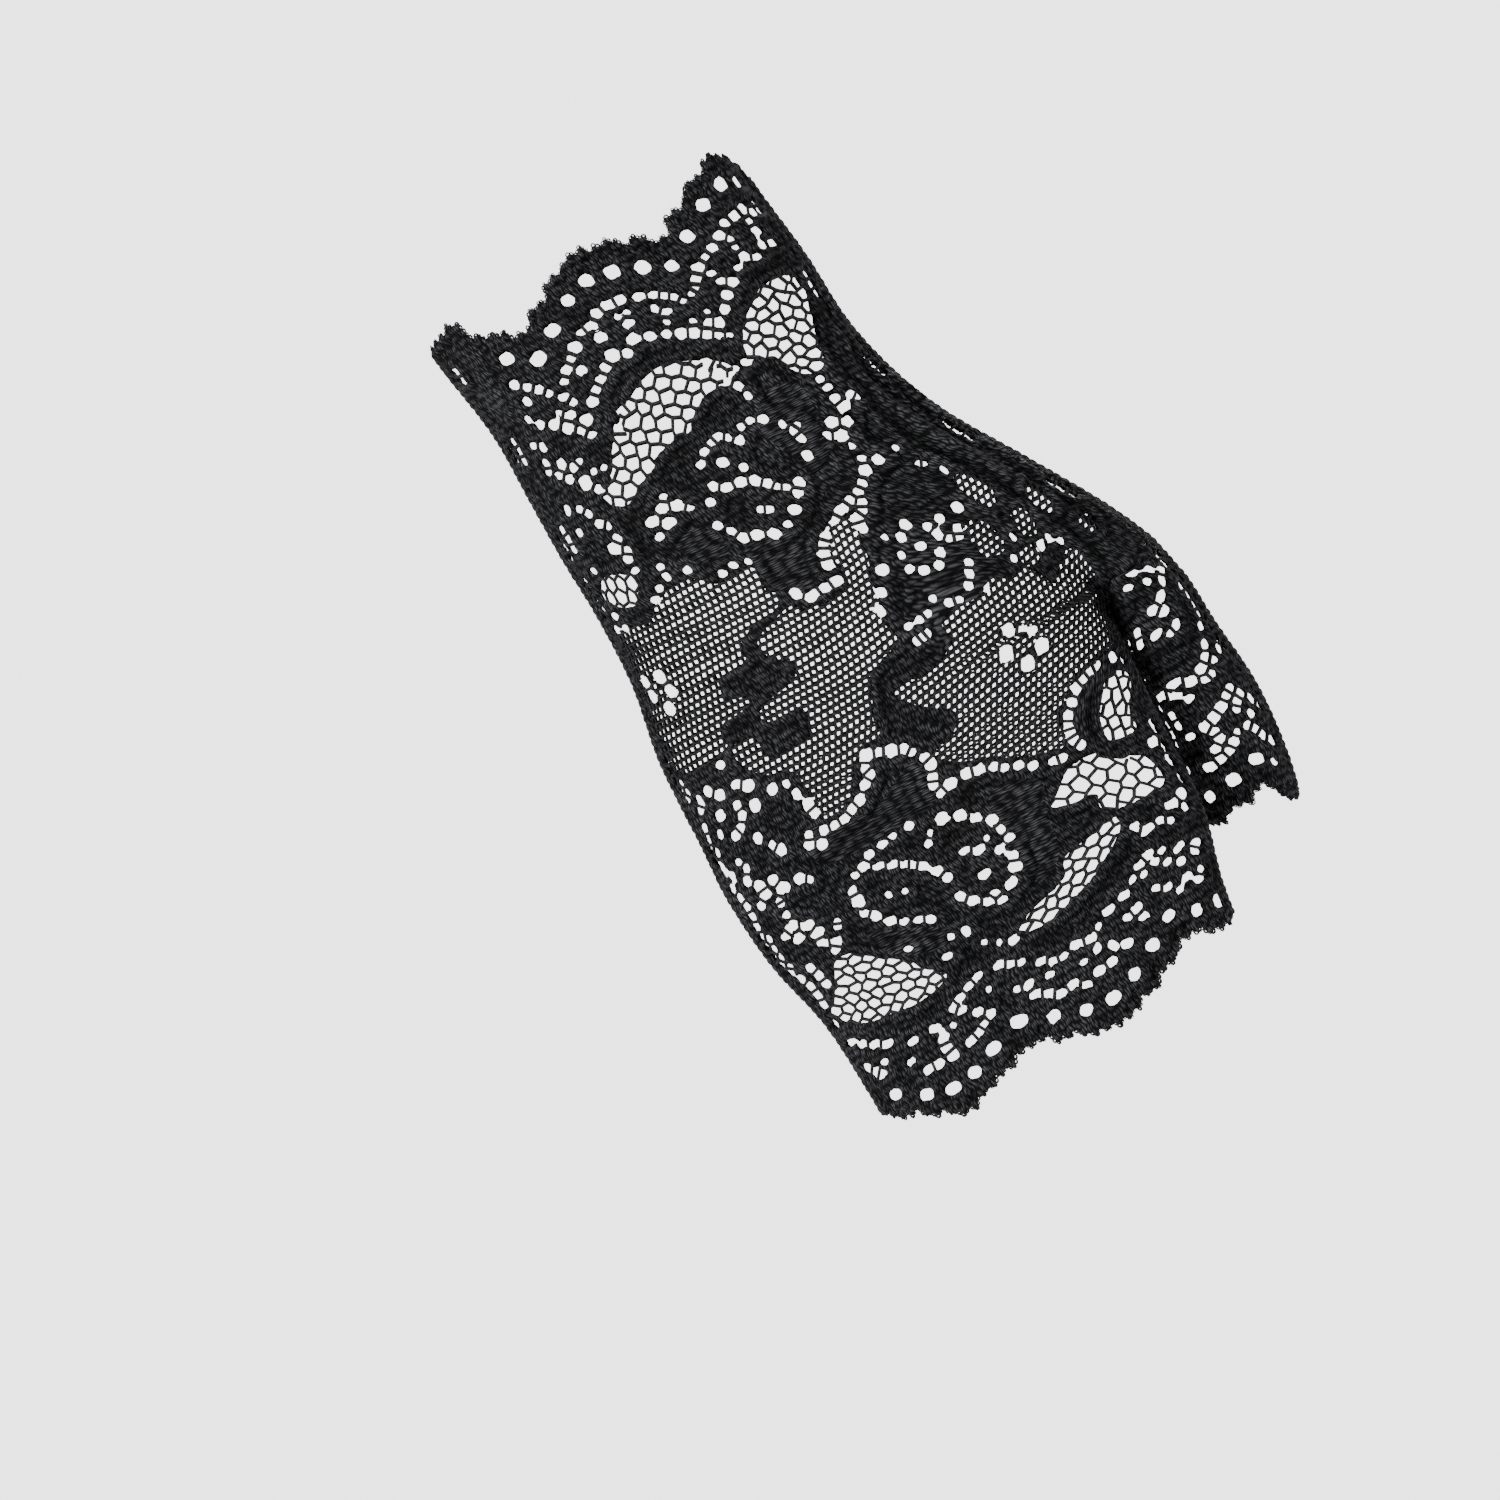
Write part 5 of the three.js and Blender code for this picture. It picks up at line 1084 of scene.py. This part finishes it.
def picot_tree(name):
    """Sets small loops of thread side by side along an edge, each upright on it."""
    tree, start, end = tree_with(name, [
        ("Spacing", "Float", 1.0 * MM), ("Loop Radius", "Float", 0.4 * MM),
        ("Thread Radius", "Float", 0.2 * MM), ("Seed", "Int", 3), ("Material", "Material", None)])
    to_curve, resample, circle, profile, sweep, upright, points = new_nodes(
        tree, "GeometryNodeMeshToCurve", "GeometryNodeResampleCurve", "GeometryNodeCurvePrimitiveCircle",
        "GeometryNodeCurvePrimitiveCircle", "GeometryNodeCurveToMesh", "GeometryNodeTransform",
        "GeometryNodeInstanceOnPoints")
    tangent, turn, size, realize, smooth, dress = new_nodes(
        tree, "GeometryNodeInputTangent", "FunctionNodeAlignRotationToVector", "FunctionNodeRandomValue",
        "GeometryNodeRealizeInstances", "GeometryNodeSetShadeSmooth", "GeometryNodeSetMaterial")
    resample.mode = "LENGTH"
    circle.inputs["Resolution"].default_value = 7
    profile.inputs["Resolution"].default_value = 3
    upright.inputs["Rotation"].default_value = (math.pi / 2, 0, 0)
    turn.axis, turn.pivot_axis = "X", "Z"
    size.data_type = "FLOAT"
    least, most = (socket for socket in size.inputs if socket.type == "VALUE" and socket.enabled)
    least.default_value, most.default_value = PICOT_SIZES
    scale = next(socket for socket in size.outputs if socket.type == "VALUE" and socket.enabled)
    tree.links.new(scale, points.inputs["Scale"])
    in_a_row(tree, start, to_curve, resample, points, realize, smooth, dress, end)
    in_a_row(tree, circle, sweep, upright)
    join_up(tree, (start, "Spacing", resample, "Length"), (start, "Loop Radius", circle, "Radius"),
            (start, "Thread Radius", profile, "Radius"), (profile, "Curve", sweep, "Profile Curve"),
            (upright, "Geometry", points, "Instance"), (tangent, "Tangent", turn, "Vector"),
            (turn, "Rotation", points, "Rotation"), (start, "Seed", size, "Seed"),
            (start, "Material", dress, "Material"))
    return tree


def grow(name, points, edges, tree, values):
    """Runs a node tree on lines given in millimetres, and returns a piece with a plain mesh."""
    lines = bpy.data.meshes.new("lines")
    lines.from_pydata((points * MM).tolist(), np.asarray(edges).tolist(), [])
    piece = new_object(name, lines)
    modifier = piece.modifiers.new("Build", "NODES")
    modifier.node_group = tree
    sockets = {item.name: item.identifier for item in tree.interface.items_tree
               if item.item_type == "SOCKET" and item.in_out == "INPUT"}
    for label, value in values.items():
        modifier[sockets[label]] = value
    bpy.context.view_layer.update()
    evaluated = piece.evaluated_get(bpy.context.evaluated_depsgraph_get())
    result = bpy.data.meshes.new_from_object(evaluated)
    piece.modifiers.remove(modifier)
    piece.data = result
    result.name = name
    bpy.data.meshes.remove(lines)
    if not len(result.polygons):
        raise RuntimeError(f"{name}: the node tree made nothing")
    return piece


def tree_named(name, build):
    return bpy.data.node_groups.get(name) or build(name)


# Materials

# The yarn's strokes, in millimetres of cloth: how they lie in plain and in ribbed cloth, how far they sway,
# how much painted shade darkens them in the hollow beside a raised cord, how much a crease's painted
# highlight and shade lighten its ridges and darken its valleys, and how much a rib lightens them
YARN = {"pitch": 0.44, "stroke": 1.5, "slant": 0.16, "rib_slant": 0.06, "rib_stroke": 0.6,
        "sway": 2.2, "rib_sway_less": -1.7, "hollow_at": 2.2, "hollow_sharpness": 2.2,
        "hollow_painted_shade": -0.5, "crease_painted_light": 0.38, "rib_tone": 0.07}
# Plied thread: flecks to the metre, and its lightness beside the cloth's
THREADS = {"Net thread": (2200, 0.62), "Seam thread": (1500, 0.7)}
SHEEN = 0.04


def shader_group(name, inputs, outputs):
    group = bpy.data.node_groups.new(name, "ShaderNodeTree")
    for label, default in inputs:
        socket = group.interface.new_socket(label, in_out="INPUT", socket_type="NodeSocketFloat")
        socket.default_value = default
    for label in outputs:
        group.interface.new_socket(label, in_out="OUTPUT", socket_type="NodeSocketFloat")
    return group, group.nodes.new("NodeGroupInput"), group.nodes.new("NodeGroupOutput")


def math_node(tree, operation, first, second=None, third=None, clamp=False):
    node = tree.nodes.new("ShaderNodeMath")
    node.operation, node.use_clamp = operation, clamp
    for slot, value in enumerate((first, second, third)):
        if value is None:
            continue
        if isinstance(value, (int, float)):
            node.inputs[slot].default_value = value
        else:
            tree.links.new(value, node.inputs[slot])
    return node.outputs[0]


def noise_node(tree, vector, scale, detail):
    noise = tree.nodes.new("ShaderNodeTexNoise")
    noise.inputs["Scale"].default_value, noise.inputs["Detail"].default_value = scale, detail
    tree.links.new(vector, noise.inputs["Vector"])
    return noise.outputs["Fac"]


def yarn_group(name):
    """Short strokes of yarn along the cloth: dark and light, painted lighter on their crests as sheen and
    darker between them as shade, how high each lies, and a tone with painted shade in the cords' hollows and
    painted highlight and shade on the creases.
    """
    group, start, end = shader_group(
        name, [("Pitch", YARN["pitch"]), ("Stroke Length", YARN["stroke"]), ("Slant", YARN["slant"])],
        ["Stroke", "Height", "Painted Light And Tone"])
    add, link = group.nodes.new, group.links.new

    def calc(operation, *values, clamp=False):
        return math_node(group, operation, *values, clamp=clamp)

    def attribute(label):
        node = add("ShaderNodeAttribute")
        node.attribute_name = label
        return node.outputs

    def choose(plain, rib):
        mix = add("ShaderNodeMix")
        mix.data_type = "FLOAT"
        for value, socket in zip((across_rib, plain, rib), (0, 2, 3)):
            link(value, mix.inputs[socket])
        return mix.outputs[0]

    cloth = attribute("cloth")["Vector"]
    split, shade, place = (add(f"ShaderNode{kind}") for kind in ("SeparateXYZ", "SeparateXYZ", "CombineXYZ"))
    link(cloth, split.inputs[0])
    u, z, depth = split.outputs
    across_rib = calc("GREATER_THAN", attribute("ribbed")["Fac"], 0.0)
    turned_u = calc("MULTIPLY_ADD", u, YARN["rib_slant"], z)
    leaning = calc("MULTIPLY_ADD", z, start.outputs["Slant"], u)
    across = calc("DIVIDE", choose(leaning, turned_u), start.outputs["Pitch"])
    along_rib = calc("MULTIPLY", u, YARN["rib_stroke"])
    along = calc("DIVIDE", choose(z, along_rib), start.outputs["Stroke Length"])
    sway = calc("MULTIPLY_ADD", across_rib, YARN["rib_sway_less"], YARN["sway"])
    link(calc("MULTIPLY_ADD", noise_node(group, cloth, 0.45, 1.0), sway, across), place.inputs[0])
    link(along, place.inputs[1])
    strokes = add("ShaderNodeTexVoronoi")
    strokes.voronoi_dimensions, strokes.feature = "2D", "F1"
    strokes.inputs["Scale"].default_value, strokes.inputs["Randomness"].default_value = 1.0, 0.6
    link(place.outputs[0], strokes.inputs["Vector"])
    link(strokes.outputs["Color"], shade.inputs[0])
    # Painted sheen and shade: a stroke's colour follows its height, lighter on its crest and darker in the
    # gaps between strokes, times its own random brightness and a random noise
    rounded = calc("MULTIPLY_ADD", strokes.outputs["Distance"], -2.6, 1.4, clamp=True)
    own = calc("MULTIPLY_ADD", shade.outputs[0], 0.55, 0.4)
    rough = calc("MULTIPLY_ADD", noise_node(group, place.outputs[0], 4.5, 2.0), 1.3, 0.35)
    link(calc("MULTIPLY", calc("MULTIPLY", rounded, own), rough), end.inputs["Stroke"])
    link(rounded, end.inputs["Height"])
    # Painted shade: the tone darkens in the hollow beside each raised cord
    from_hollow = calc("MULTIPLY", calc("SUBTRACT", depth, YARN["hollow_at"]), YARN["hollow_sharpness"])
    hollow = calc("EXPONENT", calc("MULTIPLY", calc("MULTIPLY", from_hollow, from_hollow), -1.0))
    tone = calc("MULTIPLY_ADD", hollow, YARN["hollow_painted_shade"], noise_node(group, cloth, 0.14, 2.0))
    # Painted highlight and shade: the crease's height lightens the yarn on its ridges and darkens it in its
    # valleys
    tone = calc("MULTIPLY_ADD", attribute("crease")["Fac"], YARN["crease_painted_light"], tone)
    link(calc("MULTIPLY_ADD", across_rib, YARN["rib_tone"], tone), end.inputs["Painted Light And Tone"])
    return group


def principled(name):
    material = bpy.data.materials.new(name)
    material.use_nodes = True
    return material, material.node_tree, material.node_tree.nodes["Principled BSDF"]


def ramp(tree, value, stops):
    node = tree.nodes.new("ShaderNodeValToRGB")
    elements = node.color_ramp.elements
    for k, (place, colour) in enumerate(stops):
        element = elements[k] if k < 2 else elements.new(place)
        element.position, element.color = place, (*colour, 1)
    tree.links.new(value, node.inputs[0])
    return node.outputs[0]


def raise_surface(tree, surface, height, strength, distance):
    bump = tree.nodes.new("ShaderNodeBump")
    bump.inputs["Strength"].default_value, bump.inputs["Distance"].default_value = strength, distance
    tree.links.new(height, bump.inputs["Height"])
    tree.links.new(bump.outputs[0], surface.inputs["Normal"])


def cloth_material(name):
    """Lace yarn: short strokes, lighter on their backs as painted sheen, darker between them and in the
    hollows beside the cords as painted shade, with painted highlight and shade along the creases.
    """
    material, tree, surface = principled(name)
    link = tree.links.new
    strokes, shade = tree.nodes.new("ShaderNodeGroup"), tree.nodes.new("ShaderNodeMix")
    strokes.node_tree = tree_named("Yarn strokes", yarn_group)
    stroke, tone = strokes.outputs["Stroke"], strokes.outputs["Painted Light And Tone"]
    shade.data_type, shade.blend_type = "RGBA", "MULTIPLY"
    shade.inputs[0].default_value = 1.0
    # The colour runs from painted shade between the strokes to painted sheen on their crests, and the tone
    # multiplies painted shade and highlight into it
    link(ramp(tree, stroke, [(0.05, settings().yarn_dark), (0.95, settings().yarn_light)]), shade.inputs[6])
    link(ramp(tree, tone, [(0.15, (0.4, 0.4, 0.4)), (0.85, (1.6, 1.6, 1.63))]), shade.inputs[7])
    link(shade.outputs[2], surface.inputs["Base Color"])
    raise_surface(tree, surface, strokes.outputs["Height"], 1.0, 0.4 * MM)
    link(math_node(tree, "MULTIPLY_ADD", stroke, -0.25, 0.82), surface.inputs["Roughness"])
    surface.inputs["Specular IOR Level"].default_value = SHEEN
    return material


def thread_material(name):
    """Plied thread: fine light and dark flecks all over it."""
    scale, lift = THREADS[name]
    material, tree, surface = principled(name)
    place = tree.nodes.new("ShaderNodeTexCoord").outputs["Object"]
    flecks = noise_node(tree, place, scale, 3.0)
    light = [lift * value for value in settings().yarn_light]
    colour = ramp(tree, flecks, [(0.35, settings().yarn_dark), (0.7, light)])
    tree.links.new(colour, surface.inputs["Base Color"])
    raise_surface(tree, surface, flecks, 0.5, 0.2 * MM)
    surface.inputs["Roughness"].default_value = 0.72
    surface.inputs["Specular IOR Level"].default_value = SHEEN
    return material


def material_named(name, build):
    return bpy.data.materials.get(name) or build(name)


# Settings and operators

def length_setting(name, description, default):
    return bpy.props.FloatProperty(name=name, description=description, default=default, unit="LENGTH")


def colour_setting(name, description, default):
    return bpy.props.FloatVectorProperty(
        name=name, description=description, default=default, subtype="COLOR", size=3, min=0, max=1)


class GloveSettings(bpy.types.PropertyGroup):
    fine_thread: length_setting("Fine Net Thread", "Radius of the fine net's thread", 0.335 * MM)
    open_thread: length_setting("Open Net Thread", "Radius of the open net's thread", 0.31 * MM)
    knot: length_setting("Knot", "Radius of the knots in the open net", 0.36 * MM)
    picot_spacing: length_setting("Picot Spacing", "Distance between the loops along the edges", 0.9 * MM)
    picot_radius: length_setting("Picot", "Radius of a loop along the edges", 0.34 * MM)
    picot_thread: length_setting("Picot Thread", "Radius of the loops' thread", 0.17 * MM)
    seam_strand: length_setting("Seam Strand", "Radius of one strand of an overlocked seam", 0.50 * MM)
    # Yarn Hollows and Yarn Strokes colour the cloth from the painted shade between its strokes to the painted
    # sheen on their crests; the threads use them for their random flecks
    yarn_dark: colour_setting(
        "Yarn Hollows", "Colour of the yarn between its strokes", (0.0012, 0.0012, 0.0014))
    yarn_light: colour_setting("Yarn Strokes", "Colour of the raised strokes of yarn", (0.036, 0.036, 0.039))
    view_distance: length_setting("Viewing Distance", "From the camera to the glove", 9.0)


def settings():
    return bpy.context.scene.lace_glove


# The palm's fine net lies this share of a cell off the back's, as two layers of lace do
PALM_SHIFT = 0.27
# The picots end short of the seams, sit a little into the edge and differ in size
PICOT_INSET, PICOT_SINK, PICOT_SIZES = 1.5, 0.1, (0.6, 1.35)
POINTS_PER_TOOTH = 6


class PieceOperator:
    bl_options = {"REGISTER", "UNDO"}


class GLOVE_OT_panels(PieceOperator, bpy.types.Operator):
    """Cut the two lace panels with all their holes and scalloped edges"""

    bl_idname = "glove.panels"
    bl_label = "Lace Panels"

    def execute(self, context):
        for side in SIDES:
            yarn = material_named("Black lace yarn", cloth_material)
            piece = make_cloth(f"{side}_lace", side, yarn)
            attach(piece, "root")
        return {"FINISHED"}


class GLOVE_OT_fine_net(PieceOperator, bpy.types.Operator):
    """Work the fine net between the flowers"""

    bl_idname = "glove.fine_net"
    bl_label = "Fine Net"

    def execute(self, context):
        for side in SIDES:
            u, z, edges = fine_net_lines(0.0 if side == "back" else PALM_SHIFT)
            values = {"Thread Radius": settings().fine_thread, "Sides": 3,
                      "Material": material_named("Net thread", thread_material)}
            tree = tree_named("Thread along lines", thread_tree)
            piece = grow(f"{side}_fine_net", form.lay(side, u, z), edges, tree, values)
            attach(piece, "root")
        return {"FINISHED"}


class GLOVE_OT_open_net(PieceOperator, bpy.types.Operator):
    """Work the open net of the fans, the ring and the bands"""

    bl_idname = "glove.open_net"
    bl_label = "Open Net"

    def execute(self, context):
        fields = [open_net_lines(*field) for field in pattern.open] + [hole_wall_lines()]
        u = np.concatenate([f[0] for f in fields])
        z = np.concatenate([f[1] for f in fields])
        starts = np.cumsum([0] + [len(f[0]) for f in fields])
        edges = np.concatenate([f[2] + start for f, start in zip(fields, starts)])
        for side in SIDES:
            values = {"Thread Radius": settings().open_thread, "Sides": 5, "Knot Radius": settings().knot,
                      "Material": material_named("Net thread", thread_material)}
            tree = tree_named("Knotted thread", knotted_tree)
            piece = grow(f"{side}_open_net", form.lay(side, u, z), edges, tree, values)
            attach(piece, "root")
        return {"FINISHED"}


class GLOVE_OT_picots(PieceOperator, bpy.types.Operator):
    """Set the small loops along the scalloped edges"""

    bl_idname = "glove.picots"
    bl_label = "Picots"

    def execute(self, context):
        for side in SIDES:
            lines = []
            for line in (CUFF_EDGE, FINGER_EDGE, THUMB_EDGE):
                outward = 1 if line is CUFF_EDGE else -1
                places = np.array(line)
                along = form.chart(places[:, 0], places[:, 1])
                step = TOOTH["pitch"] / POINTS_PER_TOOTH
                u = np.arange(along[0] + PICOT_INSET, along[-1] - PICOT_INSET, step)
                z = np.interp(u, along, places[:, 1]) + outward * (tooth(u) - PICOT_SINK)
                lines.append(form.lay(side, u, z))
            values = {"Spacing": settings().picot_spacing, "Loop Radius": settings().picot_radius,
                      "Thread Radius": settings().picot_thread, "Seed": 5,
                      "Material": material_named("Net thread", thread_material)}
            tree = tree_named("Picots along an edge", picot_tree)
            piece = grow(f"{side}_picots", *strung(lines), tree, values)
            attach(piece, "root")
        return {"FINISHED"}


# Each seam's edge of the form and the column of its y, and the heights it runs between
SEAMS = {
    "little_finger_seam": ("little", None, 38.9, -130.9),
    "thumb_side_seam": ("outer", "outer_y", 38.2, -116.6),
    "index_seam": ("index", "index_y", -66.8, -131.0),
    "inner_thumb_seam": ("inner", "inner_y", -66.8, -113.4),
}
SEAM_TWIST = {"strands": 3, "radius": 0.55, "lead": 4.6, "step": 0.42}


def seam_strands(name):
    """Three strands that twist round the seam's line."""
    x_name, y_name, top, bottom = SEAMS[name]
    z = np.arange(top, bottom, -SEAM_TWIST["step"])
    y = column(y_name, z) if y_name else np.zeros_like(z)
    middle = np.column_stack([column(x_name, z), y, z])
    ahead = np.gradient(middle, axis=0)
    ahead /= np.linalg.norm(ahead, axis=1, keepdims=True)
    aside = np.cross(ahead, (0, 1, 0))
    aside /= np.linalg.norm(aside, axis=1, keepdims=True)
    upward = np.cross(ahead, aside)
    turns = [2 * math.pi * (z / SEAM_TWIST["lead"] + strand / SEAM_TWIST["strands"])
             for strand in range(SEAM_TWIST["strands"])]
    return [middle + SEAM_TWIST["radius"] * (aside * np.cos(turn)[:, None] + upward * np.sin(turn)[:, None])
            for turn in turns]


class GLOVE_OT_seams(PieceOperator, bpy.types.Operator):
    """Twist the overlocked seams that join the panels"""

    bl_idname = "glove.seams"
    bl_label = "Seams"

    def execute(self, context):
        for name in SEAMS:
            values = {"Thread Radius": settings().seam_strand, "Sides": 6,
                      "Material": material_named("Seam thread", thread_material)}
            tree = tree_named("Thread along lines", thread_tree)
            piece = grow(f"{name}_thread", *strung(seam_strands(name)), tree, values)
            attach(piece, "root")
            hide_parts(name)
        return {"FINISHED"}


class GLOVE_OT_declare(PieceOperator, bpy.types.Operator):
    bl_idname = "glove.declare"
    bl_label = "Declare Cloth"

    def execute(self, context):
        for side in SIDES:
            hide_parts(f"{side}_panel")
        return {"FINISHED"}


def placed(location, right, up, back):
    """The place of a thing whose own axes point right, up and back."""
    rows = [[right[k], up[k], back[k], location[k]] for k in range(3)]
    return Matrix([*rows, [0, 0, 0, 1]])


def look_at(location, target):
    back = np.array(location, float) - np.array(target, float)
    back /= np.linalg.norm(back)
    right = np.cross((0, 0, 1), back)
    right /= np.linalg.norm(right)
    return placed(location, right, np.cross(back, right), back)


# The photo's view: the point at its middle, its width there, and how far the camera is rolled
VIEW_CENTRE = (-22.0 * MM, 0.0, -57.2 * MM)
VIEW_WIDTH = 288.5 * MM
ROLL = math.radians(30)
SENSOR_WIDTH = 36
CLIP_END = 100
FLOOR_RADIUS, FLOOR_Z = 3.0, -0.40
ROOM_LIGHT, BACKDROP_LIGHT = 0.7, 3.2
LIGHTS = [
    # name, place, size in metres, power in watts
    ("key_light", (-1.1, -0.9, 1.2), 0.5, 110),
    ("fill_light", (1.7, -1.0, 0.3), 0.8, 34),
    ("back_light", (0.5, 1.5, 1.2), 0.9, 60),
]


def pale_room():
    """Even light all round, and a brighter backdrop that only the camera sees."""
    world = bpy.data.worlds.new("Pale room")
    world.use_nodes = True
    nodes, link = world.node_tree.nodes, world.node_tree.links.new
    light, backdrop = nodes["Background"], nodes.new("ShaderNodeBackground")
    light.inputs[0].default_value = backdrop.inputs[0].default_value = (1, 1, 1, 1)
    light.inputs[1].default_value, backdrop.inputs[1].default_value = ROOM_LIGHT, BACKDROP_LIGHT
    path, mix = nodes.new("ShaderNodeLightPath"), nodes.new("ShaderNodeMixShader")
    link(path.outputs["Is Camera Ray"], mix.inputs[0])
    link(light.outputs[0], mix.inputs[1])
    link(backdrop.outputs[0], mix.inputs[2])
    link(mix.outputs[0], nodes["World Output"].inputs[0])
    return world


def pale_floor():
    bpy.ops.mesh.primitive_circle_add(vertices=64, radius=FLOOR_RADIUS, fill_type="NGON")
    floor = bpy.context.object
    floor.name = "floor"
    floor.data.transform(placed((0, 0, FLOOR_Z), (1, 0, 0), (0, 1, 0), (0, 0, 1)))
    material, _, surface = principled("Pale floor")
    surface.inputs["Base Color"].default_value = (0.86, 0.86, 0.86, 1)
    surface.inputs["Roughness"].default_value = 0.9
    floor.data.materials.append(material)
    return floor


class GLOVE_OT_stage(PieceOperator, bpy.types.Operator):
    """Set up the floor, soft lights and the camera"""

    bl_idname = "glove.stage"
    bl_label = "Stage"

    def execute(self, context):
        floor = pale_floor()
        context.scene.world = pale_room()
        for name, place, size, power in LIGHTS:
            light = bpy.data.lights.new(name, "AREA")
            light.size, light.energy = size, power
            new_object(name, light).matrix_world = look_at(place, VIEW_CENTRE)
        distance = settings().view_distance
        camera = bpy.data.cameras.new("camera")
        camera.sensor_fit, camera.sensor_width = "HORIZONTAL", SENSOR_WIDTH
        camera.lens = SENSOR_WIDTH * distance / VIEW_WIDTH
        camera.clip_end = CLIP_END
        right = (math.cos(ROLL), 0, -math.sin(ROLL))
        up = (math.sin(ROLL), 0, math.cos(ROLL))
        eye = new_object("camera", camera)
        eye.matrix_world = placed((VIEW_CENTRE[0], -distance, VIEW_CENTRE[2]), right, up, (0, -1, 0))
        context.scene.camera = eye
        return {"FINISHED"}


class GLOVE_PT_sidebar(bpy.types.Panel):
    """Steps that build the glove, in order"""

    bl_label = "Lace Glove"
    bl_idname = "GLOVE_PT_sidebar"
    bl_space_type = "VIEW_3D"
    bl_region_type = "UI"
    bl_category = "Lace Glove"

    def draw(self, context):
        for name in GloveSettings.__annotations__:
            self.layout.prop(context.scene.lace_glove, name)
        for operator in OPERATORS:
            self.layout.operator(operator.bl_idname)


OPERATORS = (GLOVE_OT_panels, GLOVE_OT_fine_net, GLOVE_OT_open_net, GLOVE_OT_picots, GLOVE_OT_seams,
             GLOVE_OT_declare, GLOVE_OT_stage)
CLASSES = (GloveSettings, *OPERATORS, GLOVE_PT_sidebar)


def register():
    for cls in CLASSES:
        bpy.utils.register_class(cls)
    bpy.types.Scene.lace_glove = bpy.props.PointerProperty(type=GloveSettings)


def unregister():
    del bpy.types.Scene.lace_glove
    for cls in reversed(CLASSES):
        bpy.utils.unregister_class(cls)


def plain(box):
    return [[float(value) for value in corner] for corner in box]


def main():
    register()
    for operator in OPERATORS:
        group, name = operator.bl_idname.split(".")
        getattr(getattr(bpy.ops, group), name)()


if __name__ == "__main__":
    main()
